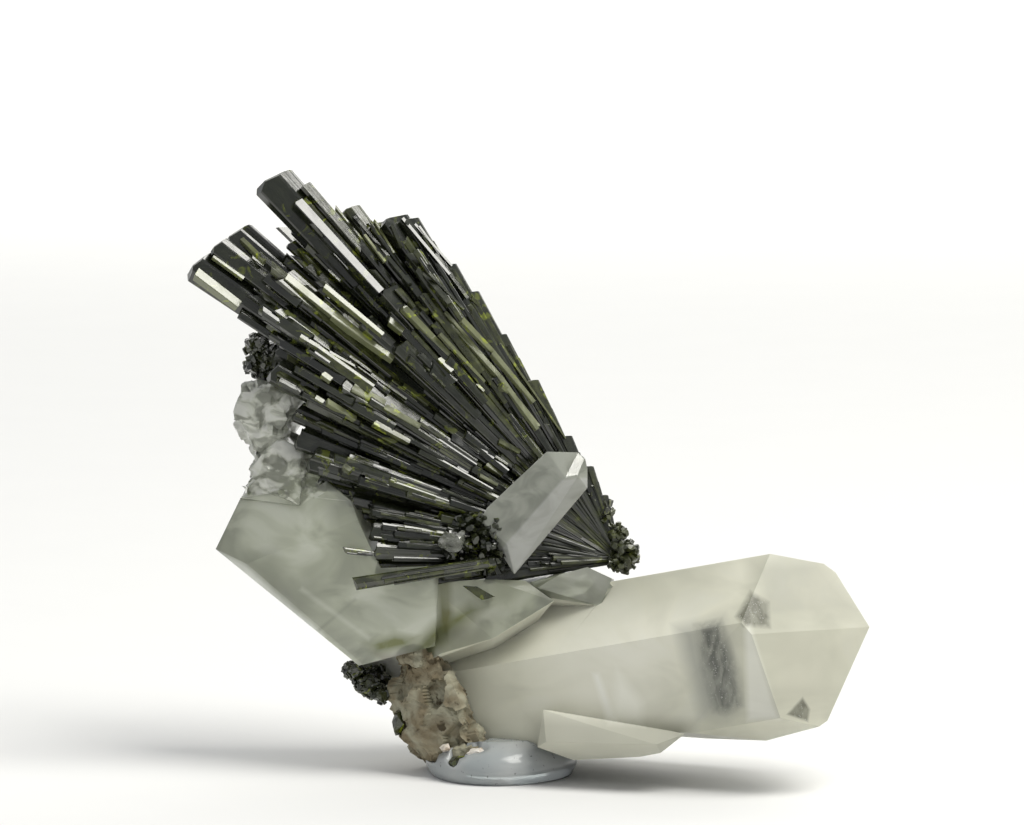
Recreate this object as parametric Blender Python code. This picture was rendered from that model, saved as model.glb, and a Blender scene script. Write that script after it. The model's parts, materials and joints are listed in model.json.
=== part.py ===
"""Epidote on quartz: a fan of epidote laths on a group of quartz crystals, standing on a clear pad.

Everything is drawn in millimetres in the plane that faces the viewer: u to the right, v up and d away
from the viewer. The whole group then leans back by LEAN and is scaled to metres.
"""

import itertools
import math
import random

import bmesh
import bpy
import numpy as np
from mathutils import Matrix, Vector

MM = 0.001
SEED = 7
GAP = 0.3
LEAN = math.radians(8.0)
WELD = 0.002
FLAT_CORNER = 1e-4

# The large quartz crystal: a point of its front edge, how it points, and its six-sided section
MAIN_EDGE = (33.7, -22.0, 23.2)
MAIN_YAW = math.radians(25.0)
MAIN_PITCH = math.radians(9.5)
MAIN_ROLL = 23.0
MAIN_RADIUS = 14.0
MAIN_FLATNESS = 0.86
MAIN_BASE = 52.0
MAIN_APEX = (51.2, 22.3)

# The fan of laths: its root, and how wide the laths are there
FAN_ROOT = (16.8, 0.0, 31.4)
ROOT_RADIUS = 3.0
ROOT_WIDTH = 0.34
FREE_TIP = (-20.2, -10.8, 28.2)
FREE_ROOT = (-0.6, -8.2, 31.2)
FREE_WIDTH = 1.9
FRONT_FILL = 44
BACK_FILL = 36

# Where the small quartz crystal lies in front of the fan's root, and how thick it is on both sides of that
POINT_DEPTH = -7.4
POINT_HALF = 2.6
POINT_TAPER = 0.12

# The pad
PAD_CENTRE = (0.0, 0.0)
PAD_HALF = (10.6, 10.4)
PAD_HEIGHT = 5.6
PAD_SIDES = 28
PAD_RISE = -1.5

COLOURS = {
    "quartz": ((0.60, 0.60, 0.52), 0.25),
    "epidote": ((0.035, 0.045, 0.025), 0.2),
    "rock": ((0.20, 0.14, 0.09), 0.8),
    "feldspar": ((0.72, 0.68, 0.62), 0.7),
    "gel": ((0.45, 0.52, 0.53), 0.3),
}


class Block:
    """A convex block, kept as its corners and the planes of its faces."""

    def __init__(self, centre, planes, corners=()):
        self.centre = Vector(centre)
        self.planes = [(Vector(point), Vector(normal).normalized()) for point, normal in planes]
        self.corners = [Vector(corner) for corner in corners]

    @classmethod
    def from_corners(cls, corners):
        """The block whose faces wrap the given corners."""
        centre = sum((Vector(corner) for corner in corners), Vector()) / len(corners)
        shape = hull(corners)
        planes = []
        for face in shape.faces:
            face.normal_update()
            planes.append((face.calc_center_median(), face.normal.copy()))
        shape.free()
        return cls(centre, planes, corners)

    def cut(self, *planes):
        """The same block with more planes cut off it."""
        return Block(self.centre, self.planes + list(planes))

    def mesh(self, grow=0.0):
        """A closed mesh of the block, each face moved out by grow."""
        corners = self.corners if self.corners and not grow else self.meeting_points(grow)
        shape = hull(corners)
        data = bpy.data.meshes.new("block")
        shape.to_mesh(data)
        shape.free()
        return data

    def meeting_points(self, grow):
        """The corners where three face planes meet, inside all the others."""
        normals = np.array([normal for _, normal in self.planes])
        offsets = np.array([normal.dot(point) + grow for point, normal in self.planes])
        triples = np.array(list(itertools.combinations(range(len(offsets)), 3)))
        faces = normals[triples]
        sound = np.abs(np.linalg.det(faces)) > FLAT_CORNER
        met = np.linalg.solve(faces[sound], offsets[triples[sound]][..., None])[..., 0]
        inside = (met @ normals.T <= offsets + WELD / 2).all(axis=1)
        return [Vector(corner) for corner in met[inside]]


def hull(corners):
    """The closed convex mesh around some corners."""
    shape = bmesh.new()
    for corner in corners:
        shape.verts.new(corner)
    bmesh.ops.remove_doubles(shape, verts=shape.verts, dist=WELD)
    result = bmesh.ops.convex_hull(shape, input=shape.verts)
    spare = {item for item in result["geom_interior"] + result["geom_unused"]}
    bmesh.ops.delete(shape, geom=[item for item in spare if isinstance(item, bmesh.types.BMVert)], context="VERTS")
    bmesh.ops.recalc_face_normals(shape, faces=shape.faces)
    return shape


def through(first, second, third, centre):
    """The plane through three points, facing away from the centre."""
    first, second, third = Vector(first), Vector(second), Vector(third)
    normal = (second - first).cross(third - first).normalized()
    if normal.dot(first - Vector(centre)) < 0:
        normal.negate()
    return first, normal


def on_plane(plane, u, v):
    """The point of a plane that the viewer sees at u, v."""
    point, normal = plane
    d = point.y - (normal.x * (u - point.x) + normal.z * (v - point.z)) / normal.y
    return Vector((u, d, v))


def axes_along(direction):
    """Two unit vectors square to a direction: one facing the viewer, one going up."""
    along = Vector(direction).normalized()
    front = Vector((0, -1, 0)) - along * Vector((0, -1, 0)).dot(along)
    front.normalize()
    up = along.cross(front)
    if up.z < 0:
        up.negate()
    return along, front, up


def lump(centre, size, corners, rng):
    """A small angular lump: corners spread over an ellipsoid."""
    points = []
    for index in range(corners):
        height = 1 - 2 * (index + 0.5) / corners
        turn = index * 2.39996 + rng.uniform(-0.3, 0.3)
        around = math.sqrt(max(0.0, 1 - height * height))
        spread = rng.uniform(0.85, 1.1)
        points.append(
            (
                centre[0] + size[0] * around * math.cos(turn) * spread,
                centre[1] + size[1] * around * math.sin(turn) * spread,
                centre[2] + size[2] * height * spread,
            )
        )
    return Block.from_corners(points)


def main_section():
    """The six edges of the large crystal: the direction they share and a point of each.

    The first edge is the front one, and they go round from there over the top.
    """
    along = Vector(
        (
            math.cos(MAIN_YAW) * math.cos(MAIN_PITCH),
            -math.sin(MAIN_YAW) * math.cos(MAIN_PITCH),
            math.sin(MAIN_PITCH),
        )
    )
    along, front, up = axes_along(along)
    spokes = []
    for side in range(6):
        turn = math.radians(MAIN_ROLL + 60 * side)
        spokes.append((front * math.cos(turn) * MAIN_FLATNESS + up * math.sin(turn)) * MAIN_RADIUS)
    middle = Vector(MAIN_EDGE) - spokes[0]
    return along, middle, [middle + spoke for spoke in spokes]


def along_edge(along, edge, u):
    """The point of an edge that the viewer sees at u."""
    return edge + along * ((u - edge.x) / along.x)


def main_blocks():
    """The large crystal at the right with its uneven tip, and its lower left end."""
    along, middle, edges = main_section()
    centre = middle - along * 10
    sides = []
    for index, edge in enumerate(edges):
        following = edges[(index + 1) % 6]
        sides.append(through(edge, following, edge + along, centre))
    upper_tip = through(
        along_edge(along, edges[0], 33.2), along_edge(along, edges[1], 37.4),
        along_edge(along, edges[0], 33.2) + Vector((18.0, 8.4, -1.0)), centre,
    )
    apex = on_plane(upper_tip, *MAIN_APEX)
    lower_tip = through(along_edge(along, edges[0], 34.0), along_edge(along, edges[5], 38.6), apex, centre)
    brow = on_plane(upper_tip, 46.6, 29.8)
    chin = on_plane(lower_tip, 45.2, 9.5)
    ends = [
        upper_tip,
        lower_tip,
        through(apex, brow, apex + Vector((-5.5, 12.0, 1.0)), centre),
        through(apex, chin, apex + Vector((-5.5, 12.0, -1.0)), centre),
        through(brow, on_plane(upper_tip, 43.6, 32.0), brow + Vector((-5.0, 9.0, 0.0)), centre),
        through(chin, on_plane(lower_tip, 43.4, 8.3), chin + Vector((-5.0, 9.0, 0.0)), centre),
    ]
    upper_left = through((-10.9, -8, 17.5), (5.5, -8, 26.9), (-3.9, 6, 24.5), centre)
    left = through((-10.6, -6, 17.5), (-6.2, -6, 6.0), (-12.0, 8, 17.5), centre)
    underside = through((12.2, -12, 8.8), (37.8, -18, 6.8), (20.0, 0, 7.2), centre)
    base_end = (middle - along * MAIN_BASE, -along)
    main = Block(centre, sides + ends + [upper_left, left, underside, base_end])
    step = through((6.2, -12, 10.9), (5.2, -12, 5.3), (7.6, 0, 8.0), (0, 0, 8))
    sole = through((-3.9, -8, 5.0), (5.2, -12, 4.4), (0.0, 4, 6.4), (0, 0, 12))
    heel = through((-6.2, -6, 6.2), (-2.2, -9, 4.0), (-6.0, 6, 6.0), (0, 0, 12))
    base = Block((0, 0, 12), sides + [upper_left, left, step, sole, heel, base_end])
    return [main, base]


def lower_crystal():
    """The smaller crystal grown parallel to the large one, under its front."""
    return Block.from_corners([
        (6.0, -12.2, 10.8), (5.2, -11.6, 5.6), (10.2, -11.5, 3.8), (19.3, -15.4, 4.4), (22.2, -16.8, 5.0),
        (21.6, -18.0, 6.2), (25.6, -17.6, 7.7), (12.2, -14.8, 8.9), (6.4, -13.4, 6.4),
        (6.0, -2.0, 9.0), (10.0, -1.0, 4.6), (20.0, -6.0, 5.2), (24.0, -8.0, 7.6), (8.0, -4.0, 10.4),
    ])


def left_blocks():
    """The broad crystal at the left, and its lower right part under the fan."""
    centre = Vector((-22.0, 2.0, 27.0))
    tip = (-39.8, -1.0, 32.9)
    ridge_foot = (-35.4, -3.4, 30.9)
    corner = (-36.1, 0.8, 41.6)
    toe = (-15.8, -6.4, 14.1)
    upper = through(tip, corner, ridge_foot, centre)
    front = through(ridge_foot, on_plane(upper, -28.3, 33.7), toe, centre)
    sides = [
        upper,
        front,
        through(tip, ridge_foot, toe, centre),
        through(tip, (-15.0, -5.0, 13.2), (-22.0, 10.0, 22.0), centre),
        through(tip, corner, (-33.0, 12.0, 40.0), centre),
        through(corner, (-33.3, 1.0, 45.1), (-31.0, 12.0, 42.0), centre),
        through((-20.0, -6, 16.6), (-8.5, -6, 19.8), (-18.0, 8, 18.0), centre),
        ((0, 12.5, 28), (0.1, 1, 0.15)),
        ((-8.6, 0, 28), (1, 0, -0.05)),
    ]
    brow = through((-26.0, -4, 43.0), (-20.4, -4, 39.8), (-24.0, 8, 44.0), centre)
    shoulder = through((-20.4, -4, 39.8), (-16.6, -5, 31.0), (-18.0, 8, 40.0), centre)
    shelf = ((-14, 0, 28.9), (0, 0.2, 1))
    lower_centre = (-16.0, 1.0, 24.0)
    return [
        Block(centre, sides + [brow, shoulder]),
        Block(lower_centre, sides + [shelf, ((-26, 0, 0), (-1, 0, 0.3))]),
    ]


def middle_blocks():
    """The green-stained middle, the mass behind it, and the blade and the seat under the fan."""
    stained = Block.from_corners([
        (-10.2, -5.0, 28.3), (-1.8, -6.5, 28.8), (3.5, -6.6, 28.6), (7.5, -8.6, 25.8), (-1.0, -9.2, 20.6),
        (-8.0, -6.5, 18.5), (-11.0, -4.5, 17.0), (-11.0, 8.0, 28.0), (4.0, 8.0, 28.0), (0.0, 9.0, 16.0), (-9.0, 8.0, 14.0),
    ])
    behind = Block.from_corners([
        (-22.0, 3.0, 28.0), (-20.0, 4.0, 16.0), (-8.0, 2.0, 8.0), (8.0, 2.0, 7.0), (14.0, 2.0, 26.0),
        (-20.0, 13.0, 27.0), (-14.0, 13.5, 17.0), (0.0, 12.5, 10.0), (10.0, 11.0, 14.0), (12.0, 12.0, 25.0), (0.0, 14.5, 28.5),
    ])
    blade = Block.from_corners([
        (3.0, -4.5, 26.0), (5.2, -7.0, 27.6), (8.4, -7.6, 29.5), (12.2, -7.6, 30.5), (15.6, -7.0, 28.9), (14.0, -6.0, 25.0),
        (6.0, -3.6, 28.6), (12.0, -4.0, 29.8), (8.0, -3.0, 25.0),
    ])
    seat = Block.from_corners([
        (2.0, -4.0, 25.6), (16.0, -4.6, 27.6), (16.0, 6.0, 28.6), (2.0, 8.0, 28.8), (2.0, 6.0, 24.0), (15.0, 6.0, 25.0),
        (9.0, -5.4, 29.6), (9.0, 4.0, 29.8), (4.4, -5.0, 28.4), (14.6, -5.0, 28.8),
    ])
    return [stained, behind, blade, seat]


def frosted_blocks():
    """The two broken lumps at the upper left, and the stem that carries them."""
    upper = Block.from_corners([
        (-35.4, -1.0, 55.4), (-36.8, -1.5, 52.1), (-36.9, 0.5, 50.4), (-34.6, -2.0, 46.9), (-33.2, -1.0, 44.7),
        (-29.0, -2.5, 51.2), (-30.0, -2.0, 54.7), (-33.7, -2.5, 56.0), (-33.0, 7.0, 55.0), (-35.5, 6.0, 50.0),
        (-28.0, 8.0, 53.0), (-30.0, 8.0, 45.0),
    ])
    slab = Block.from_corners([
        (-30.2, -2.5, 48.4), (-32.8, -2.6, 46.1), (-33.6, -2.6, 43.4), (-35.9, -1.0, 41.7), (-36.4, 0.0, 40.0),
        (-28.0, -3.6, 39.0), (-27.4, -3.0, 42.4), (-27.9, -2.6, 46.5), (-34.0, 8.0, 43.0), (-28.0, 9.0, 47.0),
        (-26.0, 9.0, 39.0), (-34.0, 7.0, 38.0),
    ])
    stem = Block.from_corners([
        (-30.0, 3.0, 50.0), (-22.0, 5.0, 44.0), (-20.0, 4.0, 32.0), (-31.0, 3.0, 36.0),
        (-28.0, 11.0, 47.0), (-20.0, 12.5, 40.0), (-18.0, 12.5, 30.0), (-29.0, 10.0, 36.0),
    ])
    return [upper, slab, stem]


def small_point():
    """The small clear crystal on the front of the fan."""
    outline = (
        (6.5, 46.6), (10.9, 46.5), (11.9, 45.6), (12.2, 44.2), (12.2, 41.5), (2.0, 29.4), (-0.4, 33.4), (-2.8, 37.1),
        (-1.8, 38.8),
    )
    corners = [(u, POINT_DEPTH, v) for u, v in outline]
    ridge = POINT_DEPTH - POINT_HALF
    corners += [(9.1, ridge, 43.0), (1.0, ridge + 0.2, 33.6), (10.9, ridge + 0.7, 43.2)]
    middle_u = sum(u for u, _ in outline) / len(outline)
    middle_v = sum(v for _, v in outline) / len(outline)
    corners += [
        (u + (middle_u - u) * POINT_TAPER, POINT_DEPTH + POINT_HALF, v + (middle_v - v) * POINT_TAPER)
        for u, v in outline
    ]
    return Block.from_corners(corners)


# The laths that the viewer can tell apart: tip u and v, width, how far the tip stands in front, and roll
LATHS = (
    (-31.9, 84.6, 6.3, 3.0, 32), (-37.1, 76.9, 5.5, 0.0, 18), (-42.0, 73.0, 6.4, 2.0, 12),
    (-39.4, 75.4, 3.6, 3.6, 20), (-30.2, 71.0, 4.0, 5.4, 15), (-29.3, 75.7, 1.9, 1.2, 0),
    (-24.9, 69.4, 2.6, 5.4, 25), (-21.1, 80.6, 3.0, -1.0, 22), (-17.5, 78.4, 2.6, 0.0, 10),
    (-15.1, 79.2, 4.4, 1.0, 28), (-12.7, 79.0, 2.8, 1.6, 20), (-7.4, 72.6, 2.6, 1.0, 20),
    (-4.2, 68.8, 2.6, 0.4, 12), (-0.4, 62.8, 2.6, 0.0, 24), (4.2, 56.4, 2.4, 0.6, 5),
    (8.9, 48.6, 2.4, 0.2, 18), (12.0, 44.4, 2.2, 0.0, 30), (14.2, 40.4, 2.0, 0.0, 12),
    (-29.0, 63.4, 4.2, 4.6, 14), (-30.9, 60.9, 3.6, 3.0, 22), (-31.5, 58.0, 4.2, 5.0, 18),
    (-25.9, 60.5, 3.2, 6.4, 25), (-21.4, 56.4, 4.6, 7.6, 16), (-26.3, 54.2, 3.2, 6.2, 10),
    (-28.4, 52.2, 3.2, 3.4, 20), (-28.0, 48.7, 4.0, 3.4, 28), (-26.3, 45.6, 4.2, 4.6, 20),
    (-21.6, 44.9, 3.8, 7.0, 24), (-25.2, 42.7, 3.0, 2.6, 10), (-20.6, 40.0, 2.8, 4.6, 18),
    (-17.9, 38.6, 2.8, 5.6, 22), (-17.9, 35.6, 3.0, 6.4, 10), (-17.4, 32.8, 3.0, 6.4, 26),
    (-17.1, 30.6, 2.6, 5.6, 15), (-8.0, 30.0, 3.0, 6.6, 20),
    (-15.7, 69.2, 3.6, 6.8, 22), (-18.8, 64.6, 3.0, 6.6, 20), (-14.0, 61.4, 3.0, 7.4, 12),
    (-11.6, 66.0, 2.8, 5.0, 18), (-8.2, 60.0, 2.8, 6.2, 26), (-2.0, 29.4, 3.0, 5.0, 12),
)


def lath(tip, width, roll, root=FAN_ROOT):
    """One flattened six-sided lath from the root of the fan to its tip, thinner at the root."""
    root, tip = Vector(root), Vector(tip)
    along, front, up = axes_along(tip - root)
    turn = math.radians(roll)
    across = up * math.cos(turn) + front * math.sin(turn)
    out = front * math.cos(turn) - up * math.sin(turn)
    length = (tip - root).length
    half, thick = width / 2, width * 0.42
    spread = (1 - ROOT_WIDTH) * half / length
    planes = [
        (root + along * ROOT_RADIUS, -along),
        (tip, along + across * 0.22 + out * 0.12),
        (tip - out * thick * 0.5, along * 0.8 - out * 0.6),
    ]
    for side in (1, -1):
        planes.append((tip + out * side * thick, out * side - along * spread * 0.8))
        for slant in (1, -1):
            normal = across * side + out * slant * 0.62
            planes.append((tip + across * side * half, normal.normalized() - along * spread))
    return Block(root + along * (length * 0.6), planes)


def fan_reach(angle):
    """How far the fan goes at an angle above the left, in degrees, read from its outline."""
    stops = ((-8, 30), (4, 36), (14, 44), (24, 52), (31, 60), (36, 72), (48, 73), (57, 58), (60, 54), (66, 26))
    for (low, near), (high, far) in zip(stops, stops[1:]):
        if angle <= high:
            return near + (far - near) * max(0.0, angle - low) / (high - low)
    return stops[-1][1]


def fan_blocks():
    """Every lath of the fan, the wedge that they grow from, its root crust and its rough patch."""
    rng = random.Random(SEED)
    root = Vector(FAN_ROOT)
    blocks = []
    for u, v, width, front, roll in LATHS:
        blocks.append(lath((u, root.y - front, v), width, roll))
    blocks.append(lath(FREE_TIP, FREE_WIDTH, 10, FREE_ROOT))
    for index in range(FRONT_FILL):
        angle = -4 + 63 * (index + rng.uniform(0.2, 0.8)) / FRONT_FILL
        reach = fan_reach(angle) * rng.uniform(0.5, 0.86)
        bow = math.radians(angle)
        depth = rng.uniform(2.5, 6.5) * reach / 50
        tip = root + Vector((-math.cos(bow) * reach, -depth, math.sin(bow) * reach))
        blocks.append(lath(tip, rng.uniform(2.0, 3.2), rng.uniform(-30, 30)))
    for index in range(BACK_FILL):
        angle = -2 + 60 * (index + rng.uniform(0.2, 0.8)) / BACK_FILL
        reach = fan_reach(angle) * rng.uniform(0.62, 0.93)
        bow = math.radians(angle)
        depth = rng.uniform(2.0, 8.0) * reach / 60
        tip = root + Vector((-math.cos(bow) * reach, depth, math.sin(bow) * reach))
        blocks.append(lath(tip, rng.uniform(3.0, 4.6), rng.uniform(-30, 30)))
    wedge = []
    for angle, reach in ((-2, 26), (14, 32), (32, 38), (48, 40), (57, 34)):
        bow = math.radians(angle)
        for depth in (-2.2, 2.6):
            wedge.append(root + Vector((-math.cos(bow) * reach, depth, math.sin(bow) * reach)))
    for depth in (-0.8, 0.8):
        wedge.append(root + Vector((0.6, depth, 2.0)))
        wedge.append(root + Vector((-0.4, depth, -1.4)))
    blocks.append(Block.from_corners(wedge))
    for centre, size in (
        ((18.0, -1.4, 33.2), (1.9, 2.6, 1.9)), ((18.2, 1.6, 31.6), (1.7, 2.6, 1.7)), ((16.7, -2.2, 30.8), (1.5, 2.0, 1.3)),
        ((15.9, 0.6, 35.6), (1.4, 2.4, 1.5)), ((17.2, 0.8, 33.8), (1.8, 2.8, 1.8)),
    ):
        blocks.append(lump(centre, size, 11, rng))
    for centre, size in (
        ((-4.0, -6.4, 35.4), (3.0, 2.6, 2.6)), ((-1.6, -6.2, 32.2), (2.6, 2.6, 2.8)), ((-5.4, -5.8, 32.6), (2.2, 2.4, 2.2)),
        ((-1.0, -6.4, 35.6), (2.2, 2.4, 2.4)),
    ):
        blocks.append(lump(centre, size, 13, rng))
    return blocks


def crust_blocks():
    """The lumpy dark crust at the upper left."""
    rng = random.Random(SEED + 1)
    places = (
        ((-34.0, 2.0, 61.6), (2.1, 3.4, 1.9)), ((-34.4, 2.6, 58.8), (1.7, 3.2, 1.9)), ((-32.4, 2.4, 60.0), (2.4, 3.8, 2.6)),
        ((-32.2, 3.0, 57.6), (2.2, 3.4, 2.0)),
    )
    return [lump(centre, size, 12, rng) for centre, size in places]


def underside_blocks():
    """The dark cluster under the left crystal."""
    rng = random.Random(SEED + 2)
    places = (
        ((-20.4, 1.0, 15.8), (1.9, 4.0, 1.6)), ((-18.6, 0.0, 13.8), (2.0, 3.6, 1.9)), ((-16.6, -1.5, 12.6), (1.8, 3.2, 1.5)),
        ((-17.6, 3.0, 14.6), (2.6, 3.4, 2.4)),
    )
    return [lump(centre, size, 12, rng) for centre, size in places]


def rock_blocks():
    """The rusty rock between the two large crystals."""
    body = Block.from_corners([
        (-15.0, -2.0, 12.4), (-14.8, -2.0, 9.4), (-14.2, -2.5, 6.7), (-12.2, -3.5, 5.2), (-10.6, -4.5, 3.4),
        (-6.2, -6.0, 2.9), (-3.0, -6.5, 3.6), (-5.0, -7.0, 9.0), (-7.0, -6.6, 14.0), (-9.0, -6.0, 18.6), (-13.0, -5.0, 18.6),
        (-14.4, 7.0, 12.0), (-13.0, 7.0, 6.5), (-8.0, 6.0, 3.0), (0.0, 4.0, 3.0), (-8.0, 8.0, 17.0), (2.0, 2.0, 5.0),
    ])
    return [body]


def pad_block():
    """The clear pad: a low rounded cake with a flat bottom."""
    corners = []
    for height, share in ((0.0, 0.86), (1.0, 0.985), (2.0, 1.0), (3.4, 0.88), (PAD_HEIGHT, 0.62)):
        for side in range(PAD_SIDES):
            turn = 2 * math.pi * side / PAD_SIDES
            ripple = 1 + 0.03 * math.sin(3 * turn + 0.7)
            corners.append(
                (
                    PAD_CENTRE[0] + PAD_HALF[0] * share * ripple * math.cos(turn),
                    PAD_CENTRE[1] + PAD_HALF[1] * share * ripple * math.sin(turn),
                    height,
                )
            )
    return Block.from_corners(corners)


def place():
    """From the drawing to the part, still in millimetres: lean back and drop to the pad's bottom."""
    return Matrix.Translation((0.0, 0.0, PAD_RISE)) @ Matrix.Rotation(-LEAN, 4, "X")


def material(kind):
    """The plain material of one kind of mineral."""
    found = bpy.data.materials.get(kind)
    if found:
        return found
    colour, roughness = COLOURS[kind]
    made = bpy.data.materials.new(kind)
    made.use_nodes = True
    shader = made.node_tree.nodes["Principled BSDF"]
    shader.inputs["Base Color"].default_value = (*colour, 1.0)
    shader.inputs["Roughness"].default_value = roughness
    shader.inputs["Metallic"].default_value = 0.0
    return made


def helper(name, meshes, transform):
    """Hidden objects in a collection of their own, for a Boolean to read."""
    group = bpy.data.collections.new(name)
    bpy.context.scene.collection.children.link(group)
    for data in meshes:
        data.transform(transform)
        group.objects.link(bpy.data.objects.new(name, data))
    return group


def drop_group(group):
    """Remove a collection with its objects and meshes."""
    for item in list(group.objects):
        data = item.data
        bpy.data.objects.remove(item)
        bpy.data.meshes.remove(data)
    bpy.data.collections.remove(group)


def build(name, kind, blocks, cutters=(), leans=True, solver="EXACT"):
    """One node: the union of its blocks, less its neighbours' blocks grown by the gap.

    A node that doesn't lean is drawn in the part's own frame, still in millimetres.
    """
    first, *rest = [block.mesh() for block in blocks]
    turn = place() if leans else Matrix.Identity(4)
    first.transform(turn)
    body = bpy.data.objects.new(name, first)
    bpy.context.scene.collection.objects.link(body)
    steps = []
    if rest:
        steps.append(("UNION", helper(name + "_more", rest, turn)))
    if cutters:
        steps.append(("DIFFERENCE", helper(name + "_cut", [block.mesh(GAP) for block in cutters], place())))
    for operation, group in steps:
        boolean = body.modifiers.new(operation, "BOOLEAN")
        boolean.operation = operation
        boolean.operand_type = "COLLECTION"
        boolean.collection = group
        boolean.solver = solver
    graph = bpy.context.evaluated_depsgraph_get()
    result = bpy.data.meshes.new_from_object(body.evaluated_get(graph))
    body.modifiers.clear()
    body.data = result
    bpy.data.meshes.remove(first)
    for _, group in steps:
        drop_group(group)
    clean(body)
    body.data.transform(Matrix.Scale(MM, 4))
    body.data.materials.clear()
    body.data.materials.append(material(kind))
    return body


def clean(body):
    """Keep the largest shell only: chips that a cut left loose are dropped."""
    shape = bmesh.new()
    shape.from_mesh(body.data)
    bmesh.ops.triangulate(shape, faces=shape.faces)
    left = set(shape.faces)
    shells = []
    while left:
        seed = left.pop()
        shell, queue = {seed}, [seed]
        while queue:
            for edge in queue.pop().edges:
                for face in edge.link_faces:
                    if face in left:
                        left.remove(face)
                        shell.add(face)
                        queue.append(face)
        shells.append(shell)
    shells.sort(key=lambda shell: sum(face.calc_area() for face in shell), reverse=True)
    extra = [face for shell in shells[1:] for face in shell]
    bmesh.ops.delete(shape, geom=extra, context="FACES")
    shape.to_mesh(body.data)
    shape.free()


def main():
    """Build every node of the part."""
    for item in list(bpy.data.objects):
        bpy.data.objects.remove(item)
    quartz = [*main_blocks(), lower_crystal(), *left_blocks(), *middle_blocks(), *frosted_blocks()]
    point = small_point()
    bead = lump((-6.6, -8.4, 34.2), (1.8, 1.5, 1.4), 14, random.Random(3))
    crust = crust_blocks()
    underside = underside_blocks()
    flake = Block.from_corners([
        (-4.2, -8.0, 27.9), (-3.0, -8.4, 27.8), (-1.5, -8.6, 26.4), (-2.6, -8.6, 25.9),
        (-4.0, -6.6, 27.9), (-3.0, -6.8, 27.8), (-1.5, -7.2, 26.4), (-2.6, -7.2, 25.9),
    ])
    chip = lump((-14.2, -2.6, 8.6), (1.1, 1.6, 2.2), 10, random.Random(4))
    foot = lump((-5.6, -7.4, 3.0), (1.9, 1.6, 1.4), 12, random.Random(5))
    feldspar_small = lump((-7.6, -7.0, 5.3), (0.9, 1.1, 0.7), 10, random.Random(6))
    feldspar_large = lump((-3.2, -8.2, 4.4), (1.7, 1.4, 1.1), 12, random.Random(8))
    rock = rock_blocks()
    build("quartz_crystals", "quartz", quartz)
    build("quartz_point", "quartz", [point])
    build("quartz_bead", "quartz", [bead], [point])
    build("epidote_crust", "epidote", crust, quartz)
    build("epidote_underside", "epidote", underside, quartz)
    build("epidote_spray", "epidote", fan_blocks(), [*quartz, point, bead, *crust], solver="MANIFOLD")
    build("epidote_flake", "epidote", [flake], quartz)
    build("epidote_chip", "epidote", [chip], quartz)
    build("feldspar_small", "feldspar", [feldspar_small], quartz)
    build("feldspar_large", "feldspar", [feldspar_large], [*quartz, feldspar_small])
    build("epidote_foot", "epidote", [foot], [*quartz, feldspar_small, feldspar_large])
    build("matrix_rock", "rock", rock, [*quartz, *underside, chip, foot, feldspar_small, feldspar_large])
    build("mounting_pad", "gel", [pad_block()], [*quartz, *rock, foot, feldspar_small, feldspar_large], leans=False)


main()
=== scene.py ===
"""Epidote on quartz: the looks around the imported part.

A fan of dark green laths stands on a group of milky quartz crystals, which rests on a clear pad. Places are
given as the viewer sees them, in millimetres: u to the right, d away from the viewer and v up. The group
leans back by LEAN, and seen() turns such a place into the part's own frame.
"""

from __future__ import annotations

import json
import logging
import math
import random
from dataclasses import dataclass
from enum import Enum
from typing import Any, Iterable, Sequence

import bmesh
import bpy
from mathutils import Matrix, Vector, noise
from mathutils.bvhtree import BVHTree

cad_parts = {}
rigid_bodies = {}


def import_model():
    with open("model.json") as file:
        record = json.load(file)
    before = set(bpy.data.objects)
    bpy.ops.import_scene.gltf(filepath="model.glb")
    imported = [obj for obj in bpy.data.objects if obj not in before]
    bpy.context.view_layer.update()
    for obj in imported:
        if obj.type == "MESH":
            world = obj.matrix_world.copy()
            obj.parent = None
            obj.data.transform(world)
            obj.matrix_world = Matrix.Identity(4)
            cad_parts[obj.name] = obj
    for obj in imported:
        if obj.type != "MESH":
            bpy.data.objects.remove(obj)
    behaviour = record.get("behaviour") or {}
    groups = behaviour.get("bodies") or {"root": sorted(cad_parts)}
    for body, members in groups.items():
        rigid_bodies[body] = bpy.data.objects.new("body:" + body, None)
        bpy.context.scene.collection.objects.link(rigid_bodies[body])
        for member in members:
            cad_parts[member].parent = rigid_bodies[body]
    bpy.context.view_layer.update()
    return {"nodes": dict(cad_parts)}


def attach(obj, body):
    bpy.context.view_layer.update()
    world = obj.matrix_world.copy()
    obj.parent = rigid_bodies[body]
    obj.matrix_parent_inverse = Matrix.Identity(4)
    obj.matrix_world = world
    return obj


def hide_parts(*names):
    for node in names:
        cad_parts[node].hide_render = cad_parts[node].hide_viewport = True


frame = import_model()

logging.basicConfig(level=logging.INFO, format="%(message)s")
log = logging.getLogger("epidote")

MM = 0.001
LEAN = math.radians(8.0)
PAD_RISE = -1.5
BODY = "root"
WELD = 1e-6
QUARTER = math.radians(90.0)
FAN_ROOT = (16.8, 0.0, 31.4)

Place = tuple[float, float, float]
Range = tuple[float, float]
Outline = tuple[tuple[float, float], ...]
Row = tuple[float, ...]
Shape = bmesh.types.BMesh
Socket = bpy.types.NodeSocket


def seen(u: float, d: float, v: float) -> Vector:
    """Turn a place as the viewer sees it into the part's frame.

    Args:
        u: Millimetres to the right.
        d: Millimetres away from the viewer.
        v: Millimetres up.

    Returns:
        The place in metres.
    """
    cos, sin = math.cos(LEAN), math.sin(LEAN)
    return Vector((u, v * sin + d * cos, v * cos - d * sin + PAD_RISE)) * MM


def turned(u: float, d: float, v: float) -> Vector:
    """Turn a direction as the viewer sees it into the part's frame."""
    return (seen(u, d, v) - seen(0.0, 0.0, 0.0)).normalized()


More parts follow.
